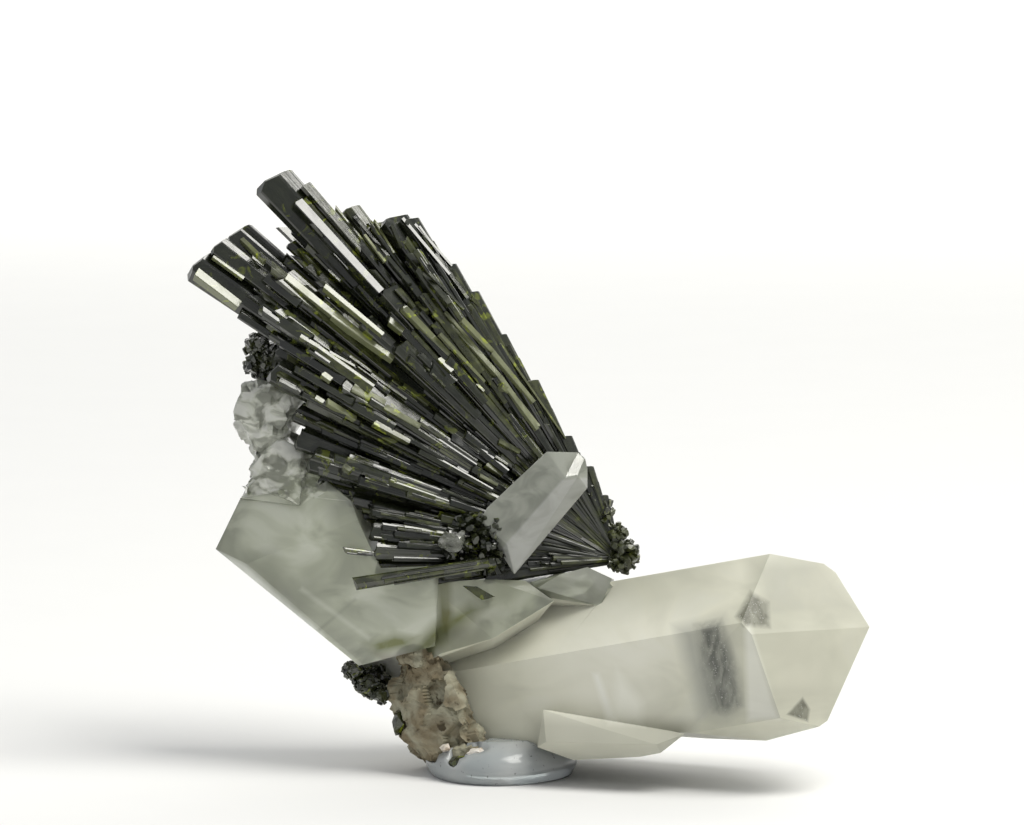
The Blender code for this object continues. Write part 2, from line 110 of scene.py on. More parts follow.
def chance(rng: random.Random, spread: float) -> Vector:
    """A chance vector with the same spread along each axis."""
    return Vector((rng.gauss(0, spread), rng.gauss(0, spread), rng.gauss(0, spread)))


def blocks(place: Vector) -> float:
    """Noise that stays the same all over each of many cells one unit wide."""
    return noise.noise(noise.voronoi(place)[1][0] * 3.7)


def add_node(tree: bpy.types.NodeTree, kind: str, inputs: dict[Any, Any] | None = None,
             **settings: Any) -> bpy.types.Node:
    """Add a node to a tree.

    Args:
        tree: The tree.
        kind: The node's type.
        inputs: Values or sockets for its inputs, by name or number.
        **settings: Settings of the node.

    Returns:
        The new node.
    """
    node = tree.nodes.new(kind)
    for name, value in settings.items():
        setattr(node, name, value)
    for key, value in (inputs or {}).items():
        if isinstance(value, Socket):
            tree.links.new(value, node.inputs[key])
        else:
            node.inputs[key].default_value = value
    return node


class Graph:
    """A material's nodes, added one at a time."""

    def __init__(self, name: str) -> None:
        """Start a material with one surface shader.

        Args:
            name: The material's name.
        """
        self.material = bpy.data.materials.new(name)
        self.material.use_nodes = True
        self.tree = self.material.node_tree

    def add(self, kind: str, inputs: dict[Any, Any] | None = None, **settings: Any) -> bpy.types.Node:
        """Add a node to the material, as add_node does."""
        return add_node(self.tree, kind, inputs, **settings)

    def object_place(self) -> Socket:
        """The place on the piece, in metres."""
        return self.add("ShaderNodeTexCoord").outputs["Object"]

    def attribute(self, name: str, output: str = "Fac") -> Socket:
        """A value that the mesh carries."""
        return self.add("ShaderNodeAttribute", attribute_name=name).outputs[output]

    def stretch(self, place: Socket, scale: Place) -> Socket:
        """The place, stretched along each axis."""
        return self.add("ShaderNodeMapping", {"Vector": place, "Scale": scale}).outputs["Vector"]

    def noise(self, place: Socket, scale: float, detail: float = 3.0, bend: float = 0.0) -> Socket:
        """Soft noise from 0 to 1."""
        inputs = {"Vector": place, "Scale": scale, "Detail": detail, "Distortion": bend}
        return self.add("ShaderNodeTexNoise", inputs).outputs["Fac"]

    def grains(self, place: Socket, scale: float) -> Socket:
        """Cells like grains: how far the middle of the nearest one is."""
        return self.add("ShaderNodeTexVoronoi", {"Vector": place, "Scale": scale}).outputs["Distance"]

    def between(self, value: Socket, low: float, high: float, to_low: float = 0.0,
                to_high: float = 1.0) -> Socket:
        """A value's range moved to another, with its ends held."""
        inputs = {"Value": value, "From Min": low, "From Max": high, "To Min": to_low, "To Max": to_high}
        return self.add("ShaderNodeMapRange", inputs).outputs["Result"]

    def maths(self, operation: str, first: Any, second: Any) -> Socket:
        """One sum on two values."""
        return self.add("ShaderNodeMath", {0: first, 1: second}, operation=operation).outputs["Value"]

    def times(self, first: Any, second: Any) -> Socket:
        """Two values multiplied."""
        return self.maths("MULTIPLY", first, second)

    def vector(self, operation: str, first: Any, second: Any, output: str = "Value") -> Socket:
        """One sum on two vectors."""
        return self.add("ShaderNodeVectorMath", {0: first, 1: second}, operation=operation).outputs[output]

    def mix(self, share: Any, first: Any, second: Any) -> Socket:
        """Mix two colours.

        Args:
            share: How much of the second there is, a value or a socket.
            first: A colour or a socket.
            second: A colour or a socket.

        Returns:
            The mixed colour.
        """
        colours = {6 + index: colour if isinstance(colour, Socket) else (*colour, 1.0)
                   for index, colour in enumerate((first, second))}
        return self.add("ShaderNodeMix", colours | {"Factor": share}, data_type="RGBA").outputs[2]

    def inside(self, place: Socket, outline: Outline, soft: float) -> Socket:
        """How far inside a straight-sided patch of the front a place is.

        Args:
            place: The place on the piece.
            outline: The patch's corners in order, as the viewer sees them.
            soft: How wide its soft edge is, in millimetres.

        Returns:
            1 well inside, 0 outside or on the back.
        """
        count = len(outline)
        middle = seen(sum(u for u, _ in outline) / count, 0.0, sum(v for _, v in outline) / count)
        walls = [(turned(0.0, -1.0, 0.0), seen(0.0, FRONT_DEPTH, 0.0))]
        for index, (u, v) in enumerate(outline):
            after_u, after_v = outline[(index + 1) % count]
            inward = turned(after_v - v, 0.0, u - after_u)
            if inward.dot(middle - seen(u, 0.0, v)) < 0:
                inward.negate()
            walls.append((inward, seen(u, 0.0, v)))
        share = None
        for inward, point in walls:
            base = inward.dot(point)
            value = self.between(self.vector("DOT_PRODUCT", place, inward), base - soft * MM / 2,
                                 base + soft * MM / 2)
            share = value if share is None else self.maths("MINIMUM", share, value)
        return share

    def bump(self, height: Socket, strength: float, depth: float, under: Socket | None = None) -> Socket:
        """Make a bump from a height.

        Args:
            height: The height, from 0 to 1.
            strength: How strong the bump is.
            depth: How deep it is, in metres.
            under: Another bump that this one lies on.

        Returns:
            The bumped normal.
        """
        inputs = {"Height": height, "Strength": strength, "Distance": depth}
        if under is not None:
            inputs["Normal"] = under
        return self.add("ShaderNodeBump", inputs).outputs["Normal"]

    def fill(self, colour: Place, density: float) -> None:
        """Tint the inside of the piece."""
        tint = self.add("ShaderNodeVolumeAbsorption", {"Color": (*colour, 1.0), "Density": density})
        self.tree.links.new(tint.outputs[0], self.tree.nodes["Material Output"].inputs["Volume"])

    def dress(self, **values: Any) -> bpy.types.Material:
        """Set the shader's inputs and give the material back.

        Args:
            **values: Each input's name with _ for a space, and a number or a socket.

        Returns:
            The material.
        """
        shader = self.tree.nodes["Principled BSDF"]
        for name, value in values.items():
            socket = shader.inputs[name.replace("_", " ")]
            if isinstance(value, Socket):
                self.tree.links.new(value, socket)
            else:
                socket.default_value = value
        return self.material


@dataclass(frozen=True)
class Mark:
    """A mark in the front of the quartz: where it is, its colour, how strong, soft and ragged it is, and
    whether it carries painted glints. Some marks are stains and veils, and some are painted shade, painted
    reflections and painted highlights.
    """

    outline: Outline
    colour: Place
    strength: float
    soft: float = 0.8
    ragged: float = 0.5
    # Whether the mark carries painted glints, for the painted reflection patches
    painted_glints: bool = False


# Marks and clouds are on what is nearer to the viewer than this, in millimetres
FRONT_DEPTH = 4.0
GREEN_STAIN = (0.13, 0.145, 0.035)
VEIL = (0.80, 0.80, 0.70)
# Wide soft clouds come first, under the other marks
QUARTZ_MARKS = (
    Mark(((-9.5, 24.0), (0.5, 27.0), (3.5, 5.0), (-7.0, 5.0)), (0.46, 0.46, 0.36), 0.45, 9.0, 0.3),
    Mark(((-9.2, 21.0), (-4.5, 24.5), (-2.5, 20.0), (-5.0, 6.0), (-9.2, 6.0)),
         (0.36, 0.35, 0.24), 0.5, 3.0, 0.6),
    Mark(((5.0, 22.0), (23.0, 24.0), (24.5, 6.0), (8.0, 6.0)), (0.95, 0.94, 0.83), 0.7, 8.0, 0.3),
    # Painted shade: the upper and the front tip facets of the large crystal are darkened
    Mark(((34.5, 31.5), (44.5, 32.0), (51.0, 24.0), (36.5, 23.2)), (0.36, 0.36, 0.29), 0.5, 3.0, 0.3),
    Mark(((37.0, 21.5), (50.0, 21.5), (44.0, 11.0), (37.5, 11.0)), (0.50, 0.49, 0.40), 0.4, 5.0, 0.3),
    Mark(((8.0, 29.5), (32.0, 33.5), (31.0, 26.0), (8.0, 23.5)), (0.50, 0.50, 0.40), 0.35, 4.0, 0.5),
    # Painted shade: the low strip of the large crystal and the crystal under it are darkened where shade
    # falls
    Mark(((4.0, 9.6), (27.0, 9.2), (27.0, 4.0), (4.0, 4.0)), (0.42, 0.42, 0.34), 0.5, 2.0, 0.4),
    # Painted reflection: a grey band with a dark core that carries painted glints, standing in for light
    # reflected inside the crystal
    Mark(((24.6, 22.2), (30.6, 23.6), (32.4, 18.1), (33.4, 11.8), (31.1, 9.9), (27.9, 10.2), (26.0, 16.0)),
         (0.36, 0.37, 0.33), 0.75, 2.4, 0.3),
    Mark(((26.6, 22.2), (30.2, 23.0), (32.6, 16.6), (33.0, 11.8), (31.1, 10.8), (29.0, 11.2), (28.2, 16.6)),
         (0.10, 0.105, 0.095), 0.9, 1.8, 0.5, True),
    # Painted reflection: a small dark patch with painted glints under the ridge edge at the tip's upper
    # corner
    Mark(((32.6, 23.9), (34.6, 27.2), (37.0, 25.8), (37.1, 22.5), (33.6, 22.7)),
         (0.10, 0.10, 0.07), 0.85, 0.8, 0.3, True),
    # Painted highlight: a bright strip along the edge between the prism face and the tip
    Mark(((33.7, 22.2), (34.4, 22.6), (38.3, 9.9), (34.2, 9.6)), (0.95, 0.95, 0.87), 0.75, 0.9, 0.2),
    # Painted reflection: a small dark patch with painted glints at the tip's lower corner
    Mark(((39.6, 10.5), (41.7, 12.7), (42.7, 11.1), (42.4, 9.5)), (0.12, 0.12, 0.09), 0.85, 0.4, 0.3, True),
    Mark(((12.9, 15.8), (13.7, 15.8), (16.0, 9.5), (14.8, 9.5)), (1.0, 1.0, 0.92), 0.9, 0.8, 0.2),
    Mark(((16.4, 15.8), (19.7, 11.8), (19.6, 9.0), (15.5, 9.2)), (1.0, 1.0, 0.90), 0.8, 1.6, 0.2),
    Mark(((-39.7, 32.7), (-35.5, 30.7), (-24.5, 20.8), (-26.5, 20.0)), (0.90, 0.91, 0.90), 0.8, 0.7, 0.3),
    Mark(((-10.6, 17.6), (-10.3, 17.6), (-5.8, 6.0), (-6.3, 6.0)), VEIL, 0.8, 0.3, 0.3),
    Mark(((-7.0, 13.4), (-6.6, 13.4), (-3.9, 6.0), (-4.3, 6.0)), VEIL, 0.7, 0.3, 0.3),
    Mark(((-18.8, 19.9), (-14.7, 21.1), (-11.8, 20.7), (-12.9, 19.3), (-17.4, 18.3)),
         GREEN_STAIN, 1.0, 1.4, 0.6),
    Mark(((-13.4, 18.1), (-9.0, 22.7), (-4.2, 25.3), (-2.2, 24.9), (-7.6, 20.2), (-11.5, 16.8)),
         GREEN_STAIN, 1.0, 2.0, 0.35),
    Mark(((-9.0, 30.8), (-7.0, 30.8), (-6.6, 24.1), (-7.4, 21.0), (-8.4, 22.7)),
         (0.10, 0.10, 0.02), 0.9, 1.0, 0.4),
    Mark(((-6.7, 30.8), (5.0, 29.4), (1.4, 26.0), (-4.2, 24.9), (-6.2, 25.8)),
         (0.16, 0.18, 0.10), 0.7, 1.6, 0.9),
    Mark(((-30.4, 27.9), (-25.2, 29.3), (-24.5, 26.0), (-28.0, 24.9)), (0.18, 0.19, 0.15), 0.6, 2.4, 0.9),
    Mark(((-25.2, 21.4), (-25.5, 21.7), (-20.2, 26.2), (-19.9, 25.9)), (0.16, 0.17, 0.13), 0.5, 0.4, 0.4),
    Mark(((-16.8, 18.1), (-10.6, 18.5), (-8.4, 13.2), (-6.7, 6.9), (-12.6, 11.1)),
         (0.21, 0.165, 0.12), 0.8, 1.2, 0.5),
    Mark(((-28.0, 27.2), (-27.6, 27.7), (-18.0, 20.7), (-18.3, 20.2)), (0.75, 0.77, 0.68), 0.6, 0.5, 0.5),
    Mark(((-24.4, 40.5), (-17.5, 39.0), (-16.8, 31.0), (-22.6, 31.6)), (0.15, 0.165, 0.115), 0.7, 2.6, 0.7),
    Mark(((-38.5, 35.5), (-33.0, 41.5), (-27.5, 38.0), (-31.0, 33.0)), (0.58, 0.60, 0.52), 0.6, 2.4, 0.7),
    Mark(((-36.5, 31.5), (-31.5, 32.5), (-27.0, 25.0), (-30.5, 25.5)), (0.17, 0.18, 0.14), 0.55, 2.6, 0.7),
    Mark(((-22.5, 27.5), (-12.0, 30.5), (-10.5, 24.0), (-17.5, 22.5)), (0.52, 0.54, 0.46), 0.5, 3.0, 0.8),
)
# Painted light and shade on the small point: a bright painted lit facet and a darker painted shaded facet
POINT_PAINTED_FACETS = (
    Mark(((2.6, 29.4), (-0.8, 31.9), (8.6, 42.6), (12.5, 43.0), (13.3, 41.8)),
         (0.97, 0.98, 0.94), 0.75, 0.35, 0.35),
    Mark(((-0.4, 33.5), (3.0, 36.8), (2.2, 37.8), (-1.4, 34.4)), (0.30, 0.31, 0.26), 0.6, 1.2, 0.6),
)


def marks_between(low: float, high: float) -> tuple[Mark, ...]:
    """The marks that lie at least partly between two places across the front."""
    return tuple(
        mark for mark in QUARTZ_MARKS
        if min(u for u, _ in mark.outline) < high and max(u for u, _ in mark.outline) > low
    )


@dataclass(frozen=True)
class QuartzFinish:
    """Milky see-through quartz, cloudy inside, with stains where the epidote meets it, and with painted
    shade, painted reflections, painted glints and painted highlights in its marks.

    Haze lies in it in wisps, some lighter than the milk and some darker.
    """

    name: str
    milk: Place
    cloud: Place
    see_through: float
    roughness: float
    relief: float = 0.04
    haze: float = 0.3
    haze_size: float = 70.0
    haze_range: Range = (0.36, 0.66)
    absorb: float = 6.0
    marks: tuple[Mark, ...] = ()
    wisp: Place = (0.86, 0.87, 0.80)
    shine: float = 0.0
    gloss: float = 0.5
    tint: Place = (0.86, 0.88, 0.78)
    # The colour of the painted glints
    painted_glint_colour: Place = (0.78, 0.79, 0.74)

    def make(self) -> bpy.types.Material:
        """Make the material.

        Returns:
            The material.
        """
        graph = Graph(self.name)
        place = graph.object_place()
        wide = graph.noise(place, 50.0, 3.0, 0.5)
        colour = graph.mix(graph.between(wide, 0.36, 0.64), self.milk, self.cloud)
        wisps = graph.noise(graph.stretch(place, (1.0, 0.6, 1.6)), self.haze_size, 3.0, 0.8)
        shade = tuple(part * 0.6 for part in self.cloud)
        for end, hue in zip(self.haze_range[::-1], (self.wisp, shade)):
            colour = graph.mix(graph.times(graph.between(wisps, 0.5, end), self.haze), colour, hue)
        if self.marks:
            colour = self._marks(graph, place, wisps, colour)
        rough = graph.between(graph.noise(place, 750.0), 0.3, 0.72, self.roughness, self.roughness * 1.35)
        if self.relief:
            graph.dress(Normal=graph.bump(wisps, self.relief, 0.6 * MM))
        if self.absorb:
            graph.fill(self.tint, self.absorb)
        return graph.dress(
            Base_Color=colour, Roughness=rough, IOR=1.544, Transmission_Weight=self.see_through,
            Specular_IOR_Level=self.gloss, Coat_Weight=self.shine, Coat_Roughness=0.08,
        )

    def _marks(self, graph: Graph, place: Socket, wisps: Socket, colour: Socket) -> Socket:
        """Add the stains and lines of the front, its painted shade and painted highlights, and the dark
        patches of painted reflection with their painted glints.

        Args:
            graph: The material's nodes.
            place: The place on the piece.
            wisps: Noise in wisps.
            colour: The colour so far.

        Returns:
            The colour with the marks.
        """
        # Painted glints: bright specks that the painted reflection patches carry
        painted_glint_spots = graph.times(graph.between(graph.grains(place, 3600.0), 0.34, 0.16),
                             graph.between(graph.noise(place, 1500.0, 2.0), 0.46, 0.6))
        blots = graph.noise(graph.stretch(place, (1.0, 1.0, 0.45)), 900.0, 4.0, 0.5)
        for mark in self.marks:
            torn = graph.between(blots if mark.painted_glints else wisps, 0.38, 0.6, 1.0 - mark.ragged, 1.0)
            patch = graph.times(graph.inside(place, mark.outline, mark.soft), torn)
            share = graph.times(patch, mark.strength)
            colour = graph.mix(share, colour, mark.colour)
            if mark.painted_glints:
                colour = graph.mix(graph.times(graph.times(share, painted_glint_spots), 0.9), colour, self.painted_glint_colour)
        return colour


@dataclass(frozen=True)
class EpidoteFinish:
    """Glassy green-black epidote with fine grooves along each lath and yellow-green flecks.

    A lath's tone runs from 0, near black, over 1, olive, to 2, pale. Near the fan's root it is duller and has
    fewer flecks.
    """

    name: str
    dark: Place = (0.009, 0.011, 0.007)
    olive: Place = (0.075, 0.085, 0.022)
    pale: Place = (0.36, 0.38, 0.22)
    fleck: Place = (0.34, 0.40, 0.03)
    grooved: bool = True
    few_flecks: Range = (12.0, 34.0)
    dull: Range = (14.0, 20.0)

    def make(self) -> bpy.types.Material:
        """Make the material.

        Returns:
            The material.
        """
        graph = Graph(self.name)
        place = graph.object_place()
        tone = graph.attribute("lath_tone")
        if self.grooved:
            shares = {0: tone, 1: tone, 2: graph.times(tone, 37.0)}
            shift = graph.add("ShaderNodeCombineXYZ", shares).outputs[0]
            along = graph.vector("ADD", graph.attribute("lath_uv", "Vector"), shift, "Vector")
            grooves = graph.noise(graph.stretch(along, (4.2, 0.10, 1.0)), 1.0)
            broken = graph.noise(graph.stretch(along, (0.9, 0.55, 1.0)), 1.0, 4.0, 0.4)
        else:
            grooves = graph.noise(place, 900.0)
            broken = graph.noise(place, 350.0, 3.0, 0.4)
        root = graph.vector("DISTANCE", place, seen(*FAN_ROOT))
        near, far = (part * MM for part in self.few_flecks)
        flecks = graph.between(graph.noise(place, 520.0, 4.0, 0.8), 0.60, 0.68)
        flecks = graph.times(flecks, graph.between(root, near, far, 0.3, 1.0))
        olive = graph.times(graph.between(broken, 0.25, 0.7), graph.between(tone, 0.0, 1.0))
        colour = graph.mix(olive, self.dark, self.olive)
        colour = graph.mix(graph.times(graph.between(tone, 1.0, 2.0), 0.8), colour, self.pale)
        flecks = graph.times(flecks, graph.between(tone, 0.0, 1.4, 0.15, 0.85))
        colour = graph.mix(flecks, colour, self.fleck)
        near, far = (part * MM for part in self.dull)
        rough = graph.between(broken, 0.35, 0.7, 0.09, 0.26)
        rough = graph.maths("ADD", rough, graph.between(root, far, near, 0.0, 0.2))
        normal = graph.bump(broken, 0.25, 0.06 * MM, graph.bump(grooves, 0.35, 0.05 * MM))
        return graph.dress(Base_Color=colour, Roughness=rough, IOR=1.75, Normal=normal)


@dataclass(frozen=True)
class StoneFinish:
    """A dull stone of three colours: its body, its patches and its grains."""

    name: str
    body: Place
    patch: Place
    grain: Place
    roughness: float
    size: float = 260.0

    def make(self) -> bpy.types.Material:
        """Make the material.

        Returns:
            The material.
        """
        graph = Graph(self.name)
        place = graph.object_place()
        wide = graph.noise(place, self.size, 5.0, 0.6)
        fine = graph.noise(place, self.size * 5.0, 4.0)
        grains = graph.between(graph.noise(place, self.size * 2.4), 0.6, 0.68)
        colour = graph.mix(graph.between(wide, 0.4, 0.62), self.body, self.patch)
        normal = graph.bump(fine, 0.6, 0.12 * MM, graph.bump(wide, 0.5, 0.3 * MM))
        rough = graph.between(fine, 0.3, 0.7, self.roughness - 0.15, self.roughness + 0.1)
        return graph.dress(Base_Color=graph.mix(grains, colour, self.grain), Roughness=rough, Normal=normal)


@dataclass(frozen=True)
class GelFinish:
    """Clear grey-blue mounting gel, a little wet looking, with small bubbles."""

    name: str
    deep: Place = (0.70, 0.76, 0.77)
    light: Place = (0.88, 0.91, 0.91)
    bubble: Place = (0.12, 0.12, 0.10)
    tint: Place = (0.62, 0.72, 0.75)
    density: float = 22.0

    def make(self) -> bpy.types.Material:
        """Make the material.

        Returns:
            The material.
        """
        graph = Graph(self.name)
        place = graph.object_place()
        wide = graph.noise(place, 180.0)
        bubbles = graph.between(graph.noise(place, 1400.0), 0.66, 0.72)
        colour = graph.mix(graph.between(wide, 0.35, 0.65), self.deep, self.light)
        colour = graph.mix(graph.times(bubbles, 0.6), colour, self.bubble)
        graph.fill(self.tint, self.density)
        rough = graph.between(graph.noise(place, 500.0), 0.3, 0.7, 0.06, 0.2)
        normal = graph.bump(wide, 0.25, 0.4 * MM)
        return graph.dress(
            Base_Color=colour, Roughness=rough, IOR=1.43, Transmission_Weight=0.55, Normal=normal)


@dataclass(frozen=True)
class PaperFinish:
    """The pale matt paper that the piece stands on."""

    name: str
    colour: Place = (0.82, 0.82, 0.815)

    def make(self) -> bpy.types.Material:
        """Make the material.

        Returns:
            The material.
        """
        graph = Graph(self.name)
        tooth = graph.noise(graph.object_place(), 60.0, 1.0)
        colour = graph.mix(tooth, self.colour, tuple(part * 0.985 for part in self.colour))
        return graph.dress(Base_Color=colour, Roughness=0.9, Specular_IOR_Level=0.1)


def settle(name: str, data: bpy.types.Mesh, materials: Iterable[bpy.types.Material],
           stands_for: str) -> None:
    """Put a finished mesh in the scene as a piece of the part.

    Args:
        name: The piece's name.
        data: Its mesh, in the part's frame.
        materials: Its materials.
        stands_for: The CAD node that it replaces.
    """
    piece = bpy.data.objects.new(name, data)
    bpy.context.scene.collection.objects.link(piece)
    for made in materials:
        data.materials.append(made)
    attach(piece, BODY)
    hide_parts(stands_for)
    log.info("%s: %d faces", name, len(data.polygons))


def copy_of(node: str) -> Shape:
    """Copy a CAD node's shape as a welded mesh of flat faces, free to change.

    Args:
        node: The node's name.

    Returns:
        The working mesh.
    """
    shape = bmesh.new()
    shape.from_mesh(frame["nodes"][node].data)
    bmesh.ops.remove_doubles(shape, verts=shape.verts, dist=WELD)
    bmesh.ops.recalc_face_normals(shape, faces=shape.faces)
    return shape


def to_mesh(shape: Shape, name: str, smooth: bool = False) -> bpy.types.Mesh:
    """Turn a working mesh into a stored one.

    Args:
        shape: The working mesh, which is freed.
        name: The stored mesh's name.
        smooth: Whether its faces are shaded smooth.

    Returns:
        The stored mesh.
    """
    data = bpy.data.meshes.new(name)
    shape.to_mesh(data)
    shape.free()
    for face in data.polygons:
        face.use_smooth = smooth
    return data


def join_rings(shape: Shape, rings: Sequence[Sequence[bmesh.types.BMVert]]) -> None:
    """Join each ring of points to the next with a band of faces.

    Args:
        shape: The working mesh.
        rings: The rings in order, each with as many points.
    """
    for inner, outer in zip(rings, rings[1:]):
        for index, start in enumerate(inner):
            after = (index + 1) % len(inner)
            shape.faces.new((start, outer[index], outer[after], inner[after]))


def close_rod(shape: Shape, rings: Sequence[Sequence[bmesh.types.BMVert]]) -> None:
    """Join rings of points into a closed rod."""
    join_rings(shape, rings)
    shape.faces.new(rings[0])
    shape.faces.new(rings[-1][::-1])
    bmesh.ops.recalc_face_normals(shape, faces=shape.faces)


class Section(Enum):
    """The outline of a lath across its length: x to its bright side, y away from the viewer, one wide."""

    DARK_FACED = (
        (-0.50, 0.02), (-0.40, -0.25), (0.16, -0.29), (0.42, -0.12), (0.50, 0.10), (0.30, 0.32),
        (-0.30, 0.32),
    )
    BRIGHT_FACED = ((-0.50, -0.06), (-0.28, -0.32), (0.42, 0.06), (0.50, 0.20), (0.28, 0.36), (-0.34, 0.30))
    RIDGED = (
        (-0.50, 0.04), (-0.28, -0.25), (0.06, -0.28), (0.40, -0.06), (0.50, 0.12), (0.26, 0.34),
        (-0.26, 0.34),
    )
    BLADE = (
        (-0.50, -0.02), (-0.42, -0.12), (0.36, -0.10), (0.46, -0.02), (0.50, 0.06), (0.38, 0.14),
        (-0.40, 0.14),
    )
    PLANK = ((-0.50, 0.02), (-0.44, -0.06), (0.44, -0.06), (0.50, 0.02), (0.50, 1.10), (-0.50, 1.10))


DARK, BRIGHT, RIDGED, BLADE = Section.DARK_FACED, Section.BRIGHT_FACED, Section.RIDGED, Section.BLADE


def softened(outline: Outline, share: float) -> Outline:
    """Cut each corner of an outline.

    Args:
        outline: The outline's corners in order.
        share: How much of the shorter side beside a corner is cut.

    Returns:
        The new outline, with twice as many corners.
    """
    result = []
    for index, (x, y) in enumerate(outline):
        here = Vector((x, y))
        before = Vector(outline[index - 1]) - here
        after = Vector(outline[(index + 1) % len(outline)]) - here
        reach = min(before.length, after.length) * share
        result.append(tuple(here + before.normalized() * reach))
        result.append(tuple(here + after.normalized() * reach))
    return tuple(result)


@dataclass(frozen=True)
class Lath:
    """One straight flattened crystal from the root of the fan to its tip."""

    root: Vector
    tip: Vector
    width: float
    roll: float
    section: Section = DARK
    root_share: float = 0.34
    tone: float = 0.2
    start: float = 0.0
    slope: float = 0.3
    past_tip: float = 1.03

    def axes(self) -> tuple[Vector, Vector, Vector]:
        """The lath's own directions.

        Returns:
            Across it towards its bright side, away from the viewer, and along it.
        """
        along = (self.tip - self.root).normalized()
        front = turned(0.0, -1.0, 0.0)
        front = (front - along * front.dot(along)).normalized()
        across = along.cross(front)
        if across.dot(turned(0.7, 0.0, 1.0)) < 0:
            across.negate()
        turn = math.radians(self.roll)
        return (
            across * math.cos(turn) + front * math.sin(turn),
            across * math.sin(turn) - front * math.cos(turn),
            along,
        )

    def shape(self) -> Shape:
        """Build the closed prism and cut its slanted, bevelled end.

        Returns:
            The working mesh.
        """
        across, deep, along = self.axes()
        outline = softened(self.section.value, 0.1)
        length = (self.tip - self.root).length
        made = bmesh.new()
        rings = []
        for share in (self.start, self.past_tip):
            size = (self.root_share + (1.0 - self.root_share) * share) * self.width
            middle = self.root + along * (length * share)
            rings.append([made.verts.new(middle + (across * x + deep * y) * size) for x, y in outline])
        close_rod(made, rings)
        ends = (
            (self.tip, along + across * self.slope + deep * 0.18),
            (self.tip + (across * 0.30 - deep * 0.1) * self.width, along + across * self.slope - deep * 0.5),
            (self.tip - across * 0.40 * self.width, along - across * 0.5 - deep * 0.2),
        )
        for point, normal in ends:
            bmesh.ops.bisect_plane(
                made, geom=made.verts[:] + made.edges[:] + made.faces[:], plane_co=point,
                plane_no=normal.normalized(), clear_outer=True)
            bmesh.ops.holes_fill(made, edges=[edge for edge in made.edges if edge.is_boundary])
        return made


def map_face(face: bmesh.types.BMFace, layer: Any, normal: Vector, lath: Lath | None = None) -> None:
    """Map a face along its lath, in millimetres, or in the lath's own units if none is given.

    Args:
        face: The face.
        layer: The map's layer.
        normal: The face's normal.
        lath: The lath that it is on, or None for one that stands upright at the origin.
    """
    across, _, along = lath.axes() if lath else (Vector((1, 0, 0)), None, Vector((0, 0, 1)))
    root, unit = (lath.root, MM) if lath else (Vector(), 1.0)
    side = along.cross(normal)
    side = side.normalized() if side.length > 0.3 else across
    for loop in face.loops:
        away = loop.vert.co - root
        loop[layer].uv = (away.dot(side) / unit, away.dot(along) / unit)


class LathPile:
    """Many laths joined in one mesh, which carries each one's tone and a map along it."""

    def __init__(self) -> None:
        """Start an empty pile."""
        self.shape = bmesh.new()
        self.map = self.shape.loops.layers.uv.new("lath_uv")
        self.tone = self.shape.faces.layers.float.new("lath_tone")

    def take(self, laths: Iterable[Lath]) -> None:
        """Join laths to the pile.

        Args:
            laths: The laths to join.
        """
        for lath in laths:
            single = lath.shape()
            copies = {vert: self.shape.verts.new(vert.co) for vert in single.verts}
            for face in single.faces:
                copy = self.shape.faces.new([copies[vert] for vert in face.verts])
                copy[self.tone] = lath.tone
                map_face(copy, self.map, face.normal, lath)
            single.free()

    def mesh(self, name: str) -> bpy.types.Mesh:
        """The pile as one stored mesh."""
        self.shape.normal_update()
        return to_mesh(self.shape, name)


def knob(centre: Place, radii: Place, size: Range, tone: float, rng: random.Random) -> Lath:
    """A stubby crystal growing out of a lump.

    Args:
        centre: The lump's middle, as the viewer sees it.
        radii: The lump's half sizes in millimetres.
        size: The least and most width of a crystal in millimetres.
        tone: Its tone.
        rng: Where the chances come from.

    Returns:
        The crystal.
    """
    way = chance(rng, 1).normalized()
    outward = Vector([part * radius for part, radius in zip(way, radii)])
    base = Vector(centre) + outward * 0.55
    lean = chance(rng, 0.5)
    width = rng.uniform(*size)
    tip = base + (way + lean).normalized() * width * rng.uniform(0.35, 0.8) + outward * 0.3
    section = rng.choice((DARK, RIDGED, BRIGHT))
    roll = rng.uniform(0, 360)
    return Lath(seen(*base), seen(*tip), width * MM, roll, section, 0.9, tone * rng.uniform(0.4, 1.3))


